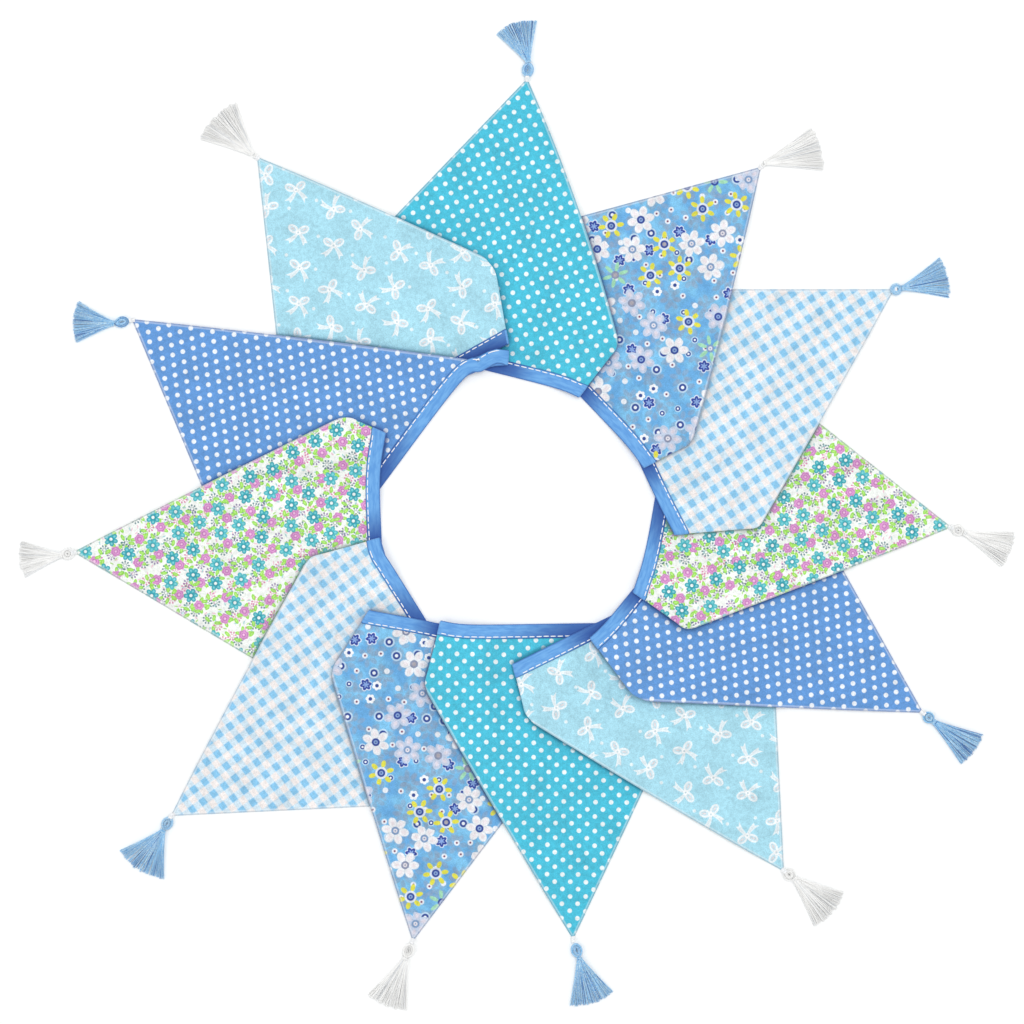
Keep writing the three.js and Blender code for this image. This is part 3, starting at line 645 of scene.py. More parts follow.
# Daisies, star flowers and small blooms over a softly clouded blue
def paintDaisies(tree, values):
    cloud = addNode(tree, "TexNoise", flatNoise, printPlace(tree), None, 0.07, 1.5)
    colour = printInks(tree, values["ground"], (values["deep"], cloud, 0.5, 0.17))
    for angle, shift, seed in ((17, (4, 9), 21), (-24, (11, 3), 23)):
        local, _, _, turn = scatter(tree, printPlace(tree, angle, shift), (21, 19), 3, seed)
        folded, _ = foldPetals(tree, local, 6, turn)
        shadow = ellipse(tree, folded, (4.8, 0), (2.9, 1.7))
        colour = printInks(tree, colour, (values["faded"], shadow, 1, 0.3, 0.5))

    # small ones: navy stars, rings of two sizes, buds and white dots with a wine red heart
    local, kind, tone, turn = scatter(tree, printPlace(tree, -9, (3, 2)), values["smallSpacing"], 2.0, 31)
    folded, reach = foldPetals(tree, local, 6, turn)
    isFlower, isRing = between(tree, kind, 0.2, 0.3), between(tree, kind, 0.3, 0.56)
    isBud, isDot = between(tree, kind, 0.56, 0.65), between(tree, kind, 0.65, 2)
    outer = ellipse(tree, folded, (2.2, 0), (2.7, 1.9))
    inner = ellipse(tree, folded, (2.0, 0), (2.2, 1.35))
    star = ellipse(tree, folded, (1.2, 0), (1.3, 0.5))
    bud = ellipse(tree, folded, (1.9, 0), (1.5, 1.35))
    size = addNode(tree, "MapRange", {}, between(tree, tone, -1, 0.5), 0, 1, 1, 0.66)
    ringReach = addNode(tree, "Math", "DIVIDE", reach, size)
    colour = printInks(
        tree, colour, ("d9e6f8", outer, 1, 0.12, isFlower), ("27409c", inner, 1, 0.14, isFlower),
        ("86a6de", star, 1, 0.3, isFlower), ("cfe6f8", ringReach, 3.7, 0.35, isRing, 0.75),
        ("2a4796", ringReach, 2.6, 0.25, isRing), ("eef4fb", ringReach, 1.15, 0.25, isRing),
        ("f4f7fb", bud, 1, 0.14, isBud), ("2f4a94", reach, 1.3, 0.25, isBud),
        ("e9eff7", reach, 1.95, 0.3, isDot),
        ("84425f", reach, 0.75, 0.25, isDot, between(tree, tone, 0.5, 2)))

    # large ones: white daisies, yellow ones with a navy ring, and slim green ones
    local, kind, tone, turn = scatter(tree, printPlace(tree, 5), values["spacing"], 2.2, 41)
    isWhite, isYellow = between(tree, kind, -1, 0.41), between(tree, kind, 0.41, 0.57)
    isGreen, isThere = between(tree, kind, 0.57, 0.78), between(tree, kind, -1, 0.78)
    isNavy = addNode(tree, "Math", "MAXIMUM", isYellow, between(tree, tone, 0.78, 2))
    folded, reach = foldPetals(tree, local, 6, turn)
    petal = ellipse(tree, folded, (5.9, 0), (3.6, 2.65))
    short = ellipse(tree, folded, (6.4, 0), (2.6, 1.6))
    slim = ellipse(tree, folded, (5.9, 0), (3.4, 1.35))
    petalColour = paint(tree, "eef1f5", "c2cfe6", between(tree, turn, 0.68, 2))
    ringColour = paint(tree, "8b93ae", "7f9cc4", between(tree, tone, 0.4, 2))
    ringColour = paint(tree, ringColour, "2b4699", isNavy)
    heart = paint(tree, "e9e4ea", "8aa8d8", isNavy)
    heart = paint(tree, heart, "a9a3ab", between(tree, tone, -1, 0.3))
    return printInks(
        tree, colour, ("c8d6e6", petal, 1.1, 0.06, isWhite, 0.8), (petalColour, petal, 1, 0.12, isWhite),
        ("efdfe4", petal, 0.5, 0.3, isWhite, 0.6), ("e2df4c", short, 1, 0.12, isYellow),
        ("a2dcb8", slim, 1, 0.15, isGreen), ("dfe9f6", reach, 4.2, 0.2, isYellow),
        (ringColour, reach, 2.8, 0.25, isThere), (heart, reach, 1.45, 0.3, isThere),
        (ringColour, reach, 0.55, 0.3, isThere, between(tree, tone, 0.3, 2)))


# Small posies: teal flowers, mauve roses, lime leaves and sprigs of pollen dots on white
def paintPosies(tree, values):
    colour, spacing = values["ground"], values["spacing"]
    for turn, shift, seed, ink in ((8, (2, 3), 51, "efc0d2"), (-14, (5, 1), 57, "a9dc6c"),
                                   (31, (1, 4), 59, "9fd4d6")):
        local, kind, _, share = scatter(tree, printPlace(tree, turn, shift), (6.5, 6.0), 1.6, seed)
        dash = ellipse(tree, spin(tree, local, share), (0, 0), (1.35, 0.5))
        colour = printInks(tree, colour, (ink, dash, 1, 0.35, between(tree, kind, 0.35, 2), 0.85))

    # sprigs: eight pollen dots round a motif's middle and eight finer ones inside them
    for shift, seed in (((0.62, 0.1), 61), ((0.2, 0.55), 67), ((0.9, 0.72), 69)):
        place = printPlace(tree, 4, np.multiply(shift, spacing))
        local, kind, _, share = scatter(tree, place, spacing, 1.8, seed)
        folded, _ = foldPetals(tree, local, 8, share)
        dots = ellipse(tree, folded, (2.7, 0), (0.75, 0.6))
        nearer = ellipse(tree, folded, (1.3, 0), (0.5, 0.32))
        pollen = paint(tree, "2c6c78", "78589c", between(tree, kind, 0.5, 0.75))
        pollen = paint(tree, pollen, "d866a0", between(tree, kind, 0.75, 2))
        colour = printInks(tree, colour, (pollen, dots, 1, 0.35, 0.85), (pollen, nearer, 1, 0.4, 0.7))

    # four leaves to a motif, and a curled rose on every other one
    for shift, seed, hasRose in (((0.33, 0.36), 71, True), ((0.05, 0.85), 73, False)):
        place = printPlace(tree, 4, np.multiply(shift, spacing))
        local, _, _, share = scatter(tree, place, spacing, 1.7, seed)
        for angle, middle in ((20, (4.1, 0.6)), (75, (4.0, -0.4)), (150, (3.8, 0.3)), (225, (4.2, 0))):
            leaf = ellipse(tree, spin(tree, local, share, angle), middle, (2.25, 1.2))
            colour = printInks(tree, colour, ("97e04c", leaf, 1, 0.14), ("b9ec84", leaf, 0.5, 0.3))
        if hasRose:
            folded, reach = foldPetals(tree, local, 6, share)
            rose = ellipse(tree, folded, (1.8, 0), (2.0, 1.6))
            curled = addNode(tree, "Math", "MULTIPLY_ADD", share, 0.4, reach)
            swirl = addNode(tree, "Math", "PINGPONG", curled, 0.75)
            colour = printInks(tree, colour, ("de9dd2", rose, 1, 0.12),
                               ("c06db6", swirl, 0.3, 0.22, below(tree, reach, 3.0, 0.3), 0.8),
                               ("f0c6e2", reach, 0.7, 0.3))

    # the teal flowers lie over all of it
    local, kind, tone, share = scatter(tree, printPlace(tree, 4), spacing, 2.9, 81)
    folded, reach = foldPetals(tree, local, 6, share)
    petal = ellipse(tree, folded, (3.2, 0), (1.85, 1.6))
    petalColour = paint(tree, "4bbac6", "30a6b6", between(tree, kind, 0.5, 2))
    isThere = between(tree, tone, 0.17, 2)
    return printInks(
        tree, colour, (petalColour, petal, 1, 0.1, isThere), (petalColour, reach, 3.1, 0.2, isThere),
        ("8adbe0", petal, 0.45, 0.3, isThere, 0.8), ("1f889a", reach, 1.8, 0.3, isThere, 0.7),
        ("eef7f4", reach, 1.1, 0.3, isThere))


# Spacings, radii and shifts are millimetres on the cloth, and turns are degrees. A print's edge colour is the
# tint of its painted shade
prints = {
    "turquoiseDot": {"paint": paintDots, "slot": "turquoise_dot_cotton", "ground": "46c2de",
                     "dot": "eef9fb", "spacing": (11.0, 5.1), "stagger": 0.5, "turn": 0,
                     "shift": (2.7, 1.2), "radius": 1.6, "edge": "1f7f9c"},
    "blueDot": {"paint": paintDots, "slot": "blue_dot_cotton", "ground": "629adb", "dot": "eef5fc",
                "spacing": (7.6, 6.9), "stagger": -0.18, "turn": 34, "shift": (1, 1),
                "radius": 1.65, "edge": "2a4c93"},
    "gingham": {"paint": paintGingham, "slot": "gingham_cotton", "ground": "f5eeec", "single": "d3e8f5",
                "double": "8ac8ee", "spacing": (10.5, 9.3), "turn": -8, "edge": "93a9ba"},
    "bow": {"paint": paintBows, "slot": "bow_cotton", "ground": "aadff0", "spacing": (26.5, 23),
            "tails": (0, 80), "loops": (172, 290), "tailLength": 8.4, "sweep": 0.03, "edge": "5d8fa8"},
    "daisy": {"paint": paintDaisies, "slot": "daisy_cotton", "ground": "80c6f0", "deep": "66aae0",
              "faded": "8ea0b8", "spacing": (22, 19.5), "smallSpacing": (11.6, 10.6), "edge": "2f5288"},
    "posy": {"paint": paintPosies, "slot": "posy_cotton", "ground": "f6faf6", "spacing": (17.5, 15.5),
             "edge": "6f8f82"},
}


shade = {
    "reach": 0.009,  # metres over which a gap holds the light back
    "open": (0.35, 0.94),  # from wholly shaded to not at all
    "most": 0.8,
    "upright": (0.2, 0.8),  # faces that look down are left out, for they are dark enough
    "touching": 0.0003,
}


# Painted shade between layers: the colour is darkened towards a tint in the gaps where an occlusion node
# finds little open room, and close to the edge of the layer lying over it, read from coverReach. Only faces
# that look up get it
def paintLayerShade(tree, colour, tint, reach, most):
    upright = addNode(tree, "SeparateXYZ", {}, addNode(tree, "NewGeometry", {}, out=1), out=2)
    upper = addNode(tree, "MapRange", softRamp, upright, *shade["upright"], 0, 1)
    openness = addNode(tree, "AmbientOcclusion", {"samples": 5}, None, shade["reach"], out=1)
    gap = addNode(tree, "MapRange", softRamp, openness, *shade["open"], shade["most"], 0)
    cover = addNode(tree, "Attribute", {"attribute_name": "coverReach"}, out=2)
    near = addNode(tree, "MapRange", softRamp, cover, shade["touching"], reach, most, 0)
    colour = paint(tree, colour, tint, times(tree, gap, upper))
    return paint(tree, colour, tint, times(tree, near, upper))


# Plain woven cotton, screen printed: dull and slightly downy, with uneven dye in patches of 3 mm, broader 22
# mm patches of painted shade that stand in for soft wrinkles, specks of thicker thread of 0.9 mm, a painted
# shade line on the rounded turned edge and a painted highlight line just inside it. Its threads lie about
# 0.25 mm apart, too fine to show, so the weave is drawn 0.45 mm apart
def makeCotton(key, values):
    material, tree, shader = newMaterial("printedCotton_" + key, 0.86, 0.25)
    shader.inputs["Sheen Roughness"].default_value = 0.6
    place = printPlace(tree)
    colour = values["paint"](tree, values)
    parts = []
    # the 22 mm patches are painted shade standing in for shallow wrinkles; the 3 mm ones are uneven dye and
    # the 0.9 mm ones thicker thread
    for perMillimetre, detail, low, high in ((0.35, 4.0, 0.9, 1.07), (0.045, 2.0, 0.93, 1.05),
                                             (1.1, 1.0, 0.91, 1.09)):
        uneven = addNode(tree, "TexNoise", flatNoise, place, None, perMillimetre, detail)
        parts.append(addNode(tree, "MapRange", {}, uneven, 0.3, 0.7, low, high))
    shaded = addNode(tree, "VectorMath", "SCALE", colour)
    tree.links.new(times(tree, *parts), shaded.node.inputs["Scale"])
    colour = shaded
    seam = addNode(tree, "Attribute", {"attribute_name": "seamReach"}, out=2)
    # painted highlight: a white line just inside the turned edge; painted shade: the edge colour on the
    # outermost rim
    for tint, start, end, most in (("ffffff", 0.0008, 0.0017, 0.28), (values["edge"], 0.0001, 0.0007, 0.4)):
        line = addNode(tree, "MapRange", softRamp, seam, start, end, most, 0)
        colour = paint(tree, colour, tint, line)
    tree.links.new(paintLayerShade(tree, colour, values["edge"], 0.0032, 0.6), shader.inputs["Base Color"])
    creases = addNode(tree, "TexNoise", flatNoise, place, None, 0.05, 3.0, 0.45)
    addWeave(tree, shader, place, 0.45, 0.05, addRelief(tree, creases, 1.0, 0.006))
    return material


# Bumps from a height, over others if there are any. The depth is in metres
def addRelief(tree, height, strength, depth, under=None):
    bump = addNode(tree, "Bump", {})
    bump.node.inputs["Strength"].default_value = strength
    bump.node.inputs["Distance"].default_value = depth
    tree.links.new(height, bump.node.inputs["Height"])
    if under is not None:
        tree.links.new(under, bump.node.inputs["Normal"])
    return bump


# Threads over and under each other, from two crossed sets of waves
def addWeave(tree, shader, place, pitch, depth, under=None):
    scaled = addNode(tree, "VectorMath", "MULTIPLY", place, (math.tau / pitch, math.tau / pitch, 0))
    waves = addNode(tree, "VectorMath", "SINE", scaled)
    warp, weft, _ = addNode(tree, "SeparateXYZ", {}, waves).node.outputs
    height = times(tree, warp, weft)
    tree.links.new(addRelief(tree, height, 0.5, depth * ring["toMetres"], under), shader.inputs["Normal"])


clothMaterials = {key: makeCotton(key, values) for key, values in prints.items()}
print("six printed cottons done")


# One pennant: a grid from tip to tape, its clockwise corner folded under with a soft round fold
def makeFlag(lay):
    index, flat, row = lay["index"], lay["flat"], lay["row"]
    topShare = 1 + cloth["intoTape"] / lay["sideLength"]
    spread = np.linspace(0, 1, cloth["rows"]) ** cloth["rowPower"]
    levels = cloth["firstRow"] + (topShare - cloth["firstRow"]) * spread
    if lay["folds"]:
        # a row each where the fold starts and at the shoulder's middle, and none too close to them
        fixed = [lay["foldStart"], lay["shoulderAt"]]
        clear = np.abs(levels[:, None] - fixed).min(1) > 0.6 * (levels[1] - levels[0])
        levels = np.sort(np.append(levels[clear], fixed))
    lasts = np.array([lay["creaseAt"](f) for f in levels])
    sideOffsets = np.array(cloth["sideOffsets"])
    middle = cloth["columns"] - 2 * len(sideOffsets)
    u = []
    for f, last in zip(levels, lasts):
        length = last * f * lay["width"]
        offsets = sideOffsets * min(1, length / cloth["offsetsFrom"])
        inner = np.linspace(offsets[-1], length - offsets[-1], middle + 2)[1:-1]
        u.append(np.concatenate([offsets, inner, length - offsets[::-1]]) / (f * lay["width"]))
    u = np.array(u)
    top = flat(u, np.repeat(levels[:, None], u.shape[1], axis=1))
    height = layerHeight(index, top)
    points = [np.concatenate([top, height[..., None]], -1).reshape(-1, 3)]
    placeOnCloth = [top.reshape(-1, 2)]
    covers = coverReach(index, top).ravel()
    numbers = np.arange(u.size).reshape(u.shape)
    quads = [q[::-1] for q in weave(numbers)]
    if lay["folds"]:
        first = int(np.searchsorted(levels, lay["foldStart"] - 1e-9))
        creasePoints, creaseHeights = top[first:, -1], height[first:, -1]
        past = (levels[first:] - lay["foldStart"]) * lay["sideLength"]
        drop = cloth["narrowFold"] + (1 - cloth["narrowFold"]) * smooth(past, 0, cloth["foldGrowth"])
        drop *= cloth["underRise"]
        way = np.gradient(creasePoints, axis=0)
        outward = leftOf(way / np.linalg.norm(way, axis=1)[:, None])
        bulge = smooth(past, -0.5, cloth["foldGrowth"])
        columns = [numbers[first:, -1]]
        start = u.size
        for angle in np.pi * np.arange(1, cloth["bendSteps"] + 1) / cloth["bendSteps"]:
            place = creasePoints + outward * (bulge * drop / 2 * math.sin(angle))[:, None]
            z = creaseHeights - drop / 2 + drop / 2 * math.cos(angle)
            points.append(np.column_stack([place, z]))
            placeOnCloth.append(creasePoints + outward * (drop / 2 * angle)[:, None])
            columns.append(np.arange(start, start + len(place)))
            start += len(place)
        lastBend = columns[-1]
        for c in range(1, cloth["cornerColumns"] + 1):
            share = c / cloth["cornerColumns"]
            across = lasts[first:] + (1 - lasts[first:]) * share
            onCloth = flat(across, levels[first:])
            mirrored = creasePoints + mirrorIn(onCloth - creasePoints, np.zeros(2), lay["crease"])
            z = layerHeight(index, mirrored) - drop
            points.append(np.column_stack([mirrored, z]))
            placeOnCloth.append(onCloth)
            column = np.arange(start, start + len(onCloth))
            column[0] = lastBend[0]  # the corner comes to a point where the fold starts
            columns.append(column)
            start += len(onCloth)
        quads += [q[::-1] for q in weave(np.array(columns).T)]
    points, placeOnCloth = np.concatenate(points), np.concatenate(placeOnCloth)
    used = sorted({n for q in quads for n in q})
    renumber = np.full(len(points), -1)
    renumber[used] = np.arange(len(used))
    quads = [tuple(int(renumber[n]) for n in q) for q in quads]
    covers = np.append(covers, np.full(len(points) - len(covers), cloth["noCover"]))[used]
    points, placeOnCloth = points[used], placeOnCloth[used]

    # How far a point of the cloth is from its sewn sides
    leftSide = lineReach(placeOnCloth, flat(0, np.linspace(0, 1.05, 3)))
    rightSide = lineReach(placeOnCloth, flat(1, np.linspace(0, 1.05, 30)))
    seam = np.minimum(leftSide, rightSide)
    padding = 1 - smooth(seam, cloth["seamWidth"] - 2, cloth["seamWidth"] + 1)
    half = cloth["thickness"] / 2 + (cloth["seamThickness"] - cloth["thickness"]) / 2 * padding
    verts, faces, source = thicken(points, quads, half)

    # The print's own axes: along the tape and away from it, in millimetres from the flag's tip
    along = flat(1, 1) - flat(0, 1)
    along /= np.linalg.norm(along)
    fromTip = placeOnCloth - lay["tip"]
    onPrint = np.column_stack([fromTip @ along, crossOf(along, fromTip), np.zeros(len(fromTip))])
    flag = makeMesh("pennant_%02d" % (index + 1), verts, faces, [
        ("onCloth", "FLOAT_VECTOR", onPrint[source] * ring["toMetres"]),
        ("coverReach", "FLOAT", covers[source] * ring["toMetres"]),
        ("seamReach", "FLOAT", seam[source] * ring["toMetres"])])
    flag.data.materials.append(clothMaterials[row["print"]])
    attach(flag, "root")
    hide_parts(flagNodes[index])
    tall = abs(float(crossOf(along, flat(0.5, 1) - lay["tip"]))) * ring["toMetres"]


for lay in layouts:
    makeFlag(lay)
print("twelve pennants laid out")


# The bias tape: one closed band round the ring, made of the section's points at each station along it
def makeTape():
    out, high = np.array(tape["section"]).T
    drop, bends = cloth["underRise"], cloth["bendSteps"]
    stations, alongs, covers = [], [], []
    travelled = 0.0
    for lay in layouts:
        index, edge, crease, fold = lay["index"], lay["edge"], lay["crease"], lay["fold"]
        following = layouts[(index + 1) % flagCount]
        ends = np.array([float(lay["creaseEnd"](o)) for o in out])

        # along the pennant's top edge to the crease
        for t in np.linspace(0, 1, tape["mainStations"]):
            place = edgeAt(edge, ends * t, out)
            stations.append(np.column_stack([place, layerHeight(index, place) + high]))
            alongs.append(travelled + ends * t)
            covers.append(coverReach(index, place))

        # round the fold, and back beneath as far as the folded corner
        creasePlace = edgeAt(edge, ends, out)
        z = layerHeight(index, creasePlace)
        outward = -leftOf(crease)
        for angle in np.pi * np.arange(1, bends + 1) / bends:
            radius = drop / 2 + high
            place = creasePlace + outward * (radius * math.sin(angle))[:, None]
            stations.append(np.column_stack([place, z - drop / 2 + radius * math.cos(angle)]))
            alongs.append(travelled + ends + drop / 2 * angle)
        for t in np.arange(1, tape["cornerStations"] + 1) / tape["cornerStations"]:
            walked = ends + (lay["cornerEnd"] - ends) * t
            place = mirrorIn(edgeAt(edge, walked, out), fold, crease)
            stations.append(np.column_stack([place, layerHeight(index, place) - drop - high]))
            alongs.append(travelled + walked)

        # the hidden run to the next pennant's hidden corner
        travelled += lay["cornerEnd"] + tape["width"] / 2
        before = lay["hidden"][0]
        for centre, way in zip(lay["hidden"], lay["hiddenWay"]):
            travelled += float(np.linalg.norm(centre - before))
            before = centre
            place = centre + leftOf(way) * (tape["width"] / 2 - out)[:, None]
            stations.append(np.column_stack([place, layerHeight(index, place) - drop - high]))
            alongs.append(np.full(len(out), travelled))

        # down and round into that pennant's own edge
        corner = edgeAt(following["edge"], 0, out)
        upper = layerHeight(index, corner) - drop
        lower = layerHeight(following["index"], corner)
        endWay = -following["edge"]["way"][0]
        for angle in np.pi * np.arange(1, bends) / bends:
            radius = (upper - lower) / 2 - high
            place = corner + endWay * (radius * math.sin(angle))[:, None]
            stations.append(np.column_stack([place, (upper + lower) / 2 + radius * math.cos(angle)]))
            alongs.append(np.full(len(out), travelled))
        covers += [np.full(len(out), cloth["noCover"])] * (len(alongs) - len(covers))
    stations = np.array(stations)
    count, around = stations.shape[:2]
    numbers = np.arange(count * around).reshape(count, around)
    numbers = np.pad(numbers, (0, 1), mode="wrap")  # closed round the ring and round the section
    onTape = np.stack([np.array(alongs), np.tile(out, (count, 1)), np.tile(high, (count, 1))], -1)
    band = makeMesh("biasTape", stations.reshape(-1, 3), weave(numbers), [
        ("coverReach", "FLOAT", np.array(covers) * ring["toMetres"]),
        ("onCloth", "FLOAT_VECTOR", onTape.reshape(-1, 3) * ring["toMetres"])])
    return band, travelled


# Dyed cotton of the tape, cut on the bias and pressed: plain blue, drawn out along its length in faint
# streaks, with painted shade along its rounded folded edge and its sewn edge and under the layers over it.
# The weave is drawn at twice its real size
def makeTapeCotton():
    material, tree, shader = newMaterial("dyedTapeCotton", 0.82, 0.2)
    place = printPlace(tree)
    drawn = addNode(tree, "VectorMath", "MULTIPLY", place, (0.3, 1.4, 1))
    uneven = addNode(tree, "TexNoise", flatNoise, drawn, None, 0.4, 3.0)
    colour = printInks(tree, "74b0ea", ("5f9cde", uneven, 0.5, 0.2))
    fromFold = addNode(tree, "SeparateXYZ", {}, place, out=1)
    # painted shade: darker lines along the tape's rounded fold and along its outer edge
    for tint, start, end, first, last in (("2f62ae", 0.0, 1.1, 0.85, 0), ("2f5fa6", 9.2, 9.9, 0, 0.85)):
        line = addNode(tree, "MapRange", softRamp, fromFold, start, end, first, last)
        colour = paint(tree, colour, tint, line)
    tree.links.new(paintLayerShade(tree, colour, "2c4f9c", 0.026, 0.85), shader.inputs["Base Color"])
    addWeave(tree, shader, place, 0.5, 0.05)
    return material


band, tapeLength = makeTape()
band.data.materials.append(makeTapeCotton())
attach(band, "root")
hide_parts(*sorted(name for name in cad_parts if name.startswith("tape_")))
print("bias tape of %.2f m folded round the ring" % (tapeLength * 1e-3))

# White sewing: one machine stitch shaped from a ball, laid along the tape's sewn edge
sewing = {
    "pitch": 5.0,
    "length": 4.5,
    "width": 0.75,
    "height": 0.45,
    "fromEdge": 8.7,
    "from": 3.0,  # where a row starts, and how far before the crease its last stitch may start
    "until": 0.5,
    "aboveCloth": 0.8,
    "dip": 0.35,  # how far its ends go down into the cloth
    "strayAlong": 0.2,
    "strayAcross": 0.12,
    "stretch": (0.9, 1.04),
}


def makeStitches():
    bpy.ops.object.select_all(action="DESELECT")
    bpy.ops.mesh.primitive_uv_sphere_add(segments=10, ring_count=8, radius=1)
    ball = bpy.context.object
    shape = np.array([v.co[:] for v in ball.data.vertices])
    faces = [np.array(p.vertices) for p in ball.data.polygons]
    faces.sort(key=len, reverse=True)
    bpy.data.objects.remove(ball)
    # the poles point along the stitch, and its ends dip into the cloth
    along = np.sign(shape[:, 2]) * np.abs(shape[:, 2]) ** 0.6 * sewing["length"] / 2
    across = shape[:, 0] * sewing["width"] / 2
    up = shape[:, 1] * sewing["height"] / 2 - sewing["dip"] * (2 * along / sewing["length"]) ** 4
    random = np.random.default_rng(4)
    points, allFaces = [], []
    for lay in layouts:
        out = sewing["fromEdge"]
        end = float(lay["creaseEnd"](out))
        steps = np.arange(sewing["from"], end - sewing["until"], sewing["pitch"])
        stray = random.uniform(-sewing["strayAlong"], sewing["strayAlong"], len(steps))
        for middle in steps + stray:
            s = middle + along * random.uniform(*sewing["stretch"])
            if s.max() > end:
                continue
            aside = random.uniform(-sewing["strayAcross"], sewing["strayAcross"])
            place = edgeAt(lay["edge"], s, out + across + aside)
            z = layerHeight(lay["index"], place) + sewing["aboveCloth"] + up
            allFaces += [(face + len(points) * len(shape)).tolist() for face in faces]
            points.append(np.column_stack([place, z]))
    return makeMesh("whiteStitches", np.concatenate(points), allFaces)


# Spun cotton thread: sewing thread is dull, and embroidery cotton is silky, with a soft sheen. Each strand
# has its own tone, so that the deeper ones show as streaks
def makeThread(name, light, dark, deep, sheen):
    material, tree, shader = newMaterial(name, 0.5, sheen)
    place = printPlace(tree)
    uneven = addNode(tree, "TexNoise", {"noise_dimensions": "3D"}, place, None, 0.9, 3.0)
    colour = paint(tree, light, dark, below(tree, uneven, 0.46, 0.16))
    tone = addNode(tree, "Attribute", {"attribute_name": "tone"}, out=2)
    colour = paint(tree, colour, dark, tone)
    colour = paint(tree, colour, deep, between(tree, tone, 0.9, 2))
    tree.links.new(colour, shader.inputs["Base Color"])
    return material


stitchMaterial = makeThread("whiteSewingThread", "ffffff", "f3f5f9", "e9edf4", 0.3)
blueThread = makeThread("blueEmbroideryThread", "d2effe", "76bdee", "2f74bc", 0.8)
whiteThread = makeThread("whiteEmbroideryThread", "ffffff", "fdfdfb", "e9ecef", 1.0)
stitches = makeStitches()
stitches.data.materials.append(stitchMaterial)
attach(stitches, "root")
print("machine stitches done")

# Thread tassels, in millimetres. The rows give each one clockwise: bearing and length of the head outward
# from the pennant's tip, and the skirt's middle bearing, spread and length
tassel = {
    "strands": 210,
    "strandRadius": 0.22,
    "strandPoints": 12,
    "deepShare": 0.12,  # how many strands show as deep streaks
    "clumps": 16,
    "neck": 1.9,
    "neckHeight": 2.0,
    "collarTurns": 4,
    "collarRadius": 2.0,
    "collarLength": 2.2,
    "collarThread": 0.3,
    "loopedFrom": 6,  # a head this long shows its loop, and a shorter one is a plain bundle
    "loopStrands": 38,
    "loopBundle": 1.85,
    "loopWidth": 2.35,
    "bundleStrands": 34,
    "ties": (-0.75, 0.0, 0.75),
    "tieRadius": 0.4,
}
tasselRows = [
    (5, 12, 341, 56, 29), (40, 4, 75, 41, 41), (80, 6, 76, 46, 33), (113, 10, 111, 38, 35),
    (130, 10, 126, 37, 35), (125, 9, 132, 49, 36), (163, 14, 163, 52, 33), (203, 13, 202, 44, 36),
    (209, 11.5, 212, 62, 33), (256, 9, 264, 45, 29.5), (259, 13, 272, 54, 28.5), (305, 4, 314, 53, 37.5)]


# Turns strands into one mesh of thin round threads, by way of a bevelled curve. A strand is its path, its
# radius all along or point by point, and its tone
def spinThread(name, strands):
    curve = bpy.data.curves.new(name, "CURVE")
    curve.dimensions = "3D"
    curve.bevel_depth = ring["toMetres"]
    curve.bevel_resolution = 0
    curve.use_fill_caps = True
    for path, radii, _ in strands:
        spline = curve.splines.new("POLY")
        spline.points.add(len(path) - 1)
        shifted = np.array(path, float)
        shifted[:, :2] += ring["shift"]
        places = np.column_stack([shifted * ring["toMetres"], np.ones(len(path))])
        spline.points.foreach_set("co", places.ravel())
        spline.points.foreach_set("radius", np.broadcast_to(radii, len(path)).astype(np.float32))
        spline.use_smooth = True
    thread = bpy.data.objects.new(name, curve)
    scene.collection.objects.link(thread)
    bpy.ops.object.select_all(action="DESELECT")
    thread.select_set(True)
    bpy.context.view_layer.objects.active = thread
    bpy.ops.object.convert(target="MESH")
    thread = bpy.context.object
    thread.name = thread.data.name = name
    places = np.empty(len(thread.data.vertices) * 3, np.float32)
    thread.data.vertices.foreach_get("co", places)
    layer = thread.data.attributes.new("onCloth", "FLOAT_VECTOR", "POINT")
    layer.data.foreach_set("vector", places)
    # a strand has as many points round it for each of its path's points, and a few more in its end caps
    counts = np.array([len(strand[0]) for strand in strands])
    around, spare = divmod(len(thread.data.vertices), counts.sum())
    tones = np.repeat([strand[2] for strand in strands], counts * around + spare // len(strands))
    layer = thread.data.attributes.new("tone", "FLOAT", "POINT")
    layer.data.foreach_set("value", tones.astype(np.float32))
    return thread


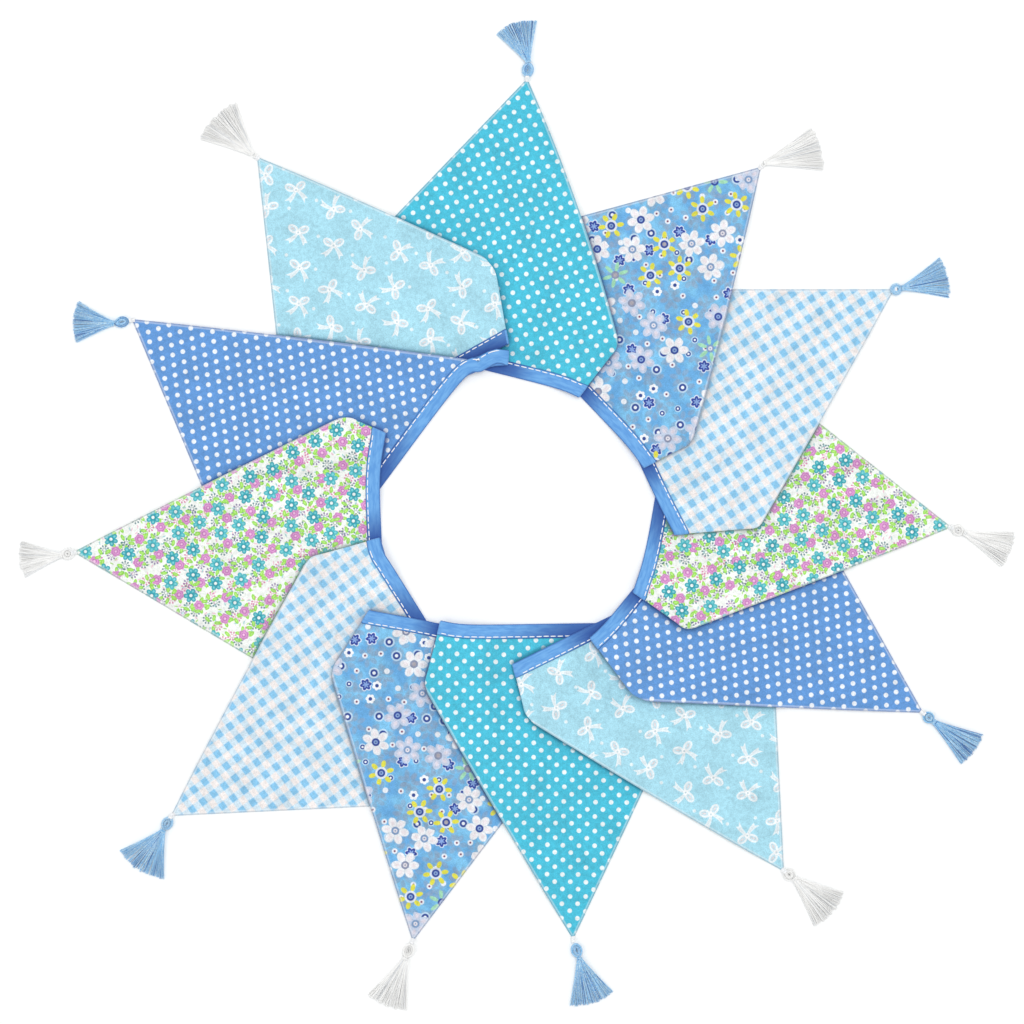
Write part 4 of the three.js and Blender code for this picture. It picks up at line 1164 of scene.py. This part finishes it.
def makeTassel(number, row):
    headTurn, head, skirtTurn, spread, skirt = row
    random = np.random.default_rng(100 + number)
    tip = np.array(flagRows[number]["tip"], float)
    outward, side = heading(headTurn), -leftOf(heading(headTurn))
    neck, skirtWay = tip + outward * head, heading(skirtTurn)
    high, radius = tassel["neckHeight"], tassel["strandRadius"]
    looped = head >= tassel["loopedFrom"]
    strands = []

    # the head: strands looped from the collar to the pennant's tip and back, in one plump ring
    if looped:
        length = min(11, max(8.6, 0.9 * head))
        for _ in range(tassel["loopStrands"]):
            turn = random.uniform(0, math.tau)
            share = math.sqrt(random.uniform(0, 1)) * tassel["loopBundle"]
            t = np.linspace(0, 1, 26) * math.tau
            pinch = 1 - 0.42 * np.exp(-(t / 0.8) ** 2) - 0.42 * np.exp(-((t - math.tau) / 0.8) ** 2)
            away = share * math.cos(turn)
            along = (length / 2 - tassel["loopBundle"] + away) * np.cos(t) - length / 2
            across = (tassel["loopWidth"] + away) * np.sin(t) * pinch
            place = neck + outward * (along + 0.4)[:, None] + side * across[:, None]
            z = high + share * math.sin(turn) * 0.8 + 0.12 * np.sin(3 * t + turn)
            strands.append((np.column_stack([place, z]), radius * 1.15, random.uniform(0, 0.8)))
    else:
        for _ in range(tassel["bundleStrands"]):
            across = random.uniform(-1, 1)
            t = np.linspace(0, 1, 8)
            place = tip + outward * (head * t - 1.2)[:, None] + side * (across * (0.9 + 1.0 * t))[:, None]
            z = 1.0 + (high - 1.0) * t + random.uniform(-0.5, 0.9) * t
            strands.append((np.column_stack([place, z]), radius * 1.15, random.uniform(0, 0.8)))

    # the collar: thread wound round the neck
    t = np.linspace(0, tassel["collarTurns"] * math.tau, tassel["collarTurns"] * 16)
    skirtSide = -leftOf(skirtWay)
    along = tassel["collarLength"] * t / t[-1]
    place = neck + skirtWay * along[:, None] + skirtSide * (tassel["collarRadius"] * np.cos(t))[:, None]
    z = np.maximum(high + 0.1 + tassel["collarRadius"] * 0.86 * np.sin(t), tassel["collarThread"])
    strands.append((np.column_stack([place, z]), tassel["collarThread"], 0.35))

    # the skirt: fanned out flat on the floor in faint clumps, and cut straight at its end
    clumps = tassel["clumps"]
    centres = (np.arange(clumps) + random.uniform(-0.3, 0.3, clumps)) / (clumps - 1)
    reaches = random.uniform(0.975, 1.015, clumps)
    for k in range(tassel["strands"]):
        share = (k + random.uniform(0, 1)) / tassel["strands"]
        clump = int(np.argmin(np.abs(centres - share)))
        pulled = share + (centres[clump] - share) * random.uniform(0.05, 0.4)
        t = np.linspace(0, 1, tassel["strandPoints"])
        bearing = skirtTurn + (pulled - 0.5) * spread * (0.8 + 0.2 * np.sqrt(t)) + random.normal(0, 0.5) * t
        length = skirt * reaches[clump] * random.uniform(0.965, 1.0)
        way = np.stack([np.sin(np.radians(bearing)), np.cos(np.radians(bearing))], -1)
        root = neck + skirtWay * 0.8 + skirtSide * ((share - 0.5) * 2 * tassel["neck"] * 0.85)
        waver = random.normal(0, 0.16) * np.sin(t * random.uniform(2, 5) + random.uniform(0, 6)) * t
        place = root + way * (t * length)[:, None] + skirtSide * waver[:, None]
        start = high + random.uniform(-1.3, 1.4)
        end = radius + 0.05 + random.uniform(0, 1) ** 1.4 * 1.7
        z = end + (start - end) * (1 - t) ** 1.8 + 0.5 * np.sin(t * math.pi) * random.uniform(0, 0.7)
        thin = radius * (1 - 0.2 * t ** 3)
        tone = 1.0 if random.uniform(0, 1) < tassel["deepShare"] else random.uniform(0, 0.85)
        strands.append((np.column_stack([place, np.maximum(z, radius)]), thin, tone))
    piece = spinThread("tassel_%02d_threads" % (number + 1), strands)
    blue = number % 2 == 0
    piece.data.materials.append(blueThread if blue else whiteThread)
    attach(piece, "root")
    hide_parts("tassel_%02d" % (number + 1))

    # the white thread that ties the head to the tip
    t = np.linspace(0, 1, 20)
    reach, rise = (3.4, 2.8) if looped else (2.6, 1.8)
    tied = []
    for across in tassel["ties"]:
        bow = reach * np.sin(t * math.pi) - 1.4 + 0.25 * abs(across)
        place = tip + outward * bow[:, None] + side * (across + 0.5 * np.cos(t * math.pi))[:, None]
        z = 1.1 + rise * np.sin(t * math.pi)
        tied.append((np.column_stack([place, z]), tassel["tieRadius"], 0.0))
    return tied


ties = [strand for number, row in enumerate(tasselRows) for strand in makeTassel(number, row)]
tieThread = spinThread("tasselTies", ties)
tieThread.data.materials.append(stitchMaterial)
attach(tieThread, "root")
print("twelve tassels done")
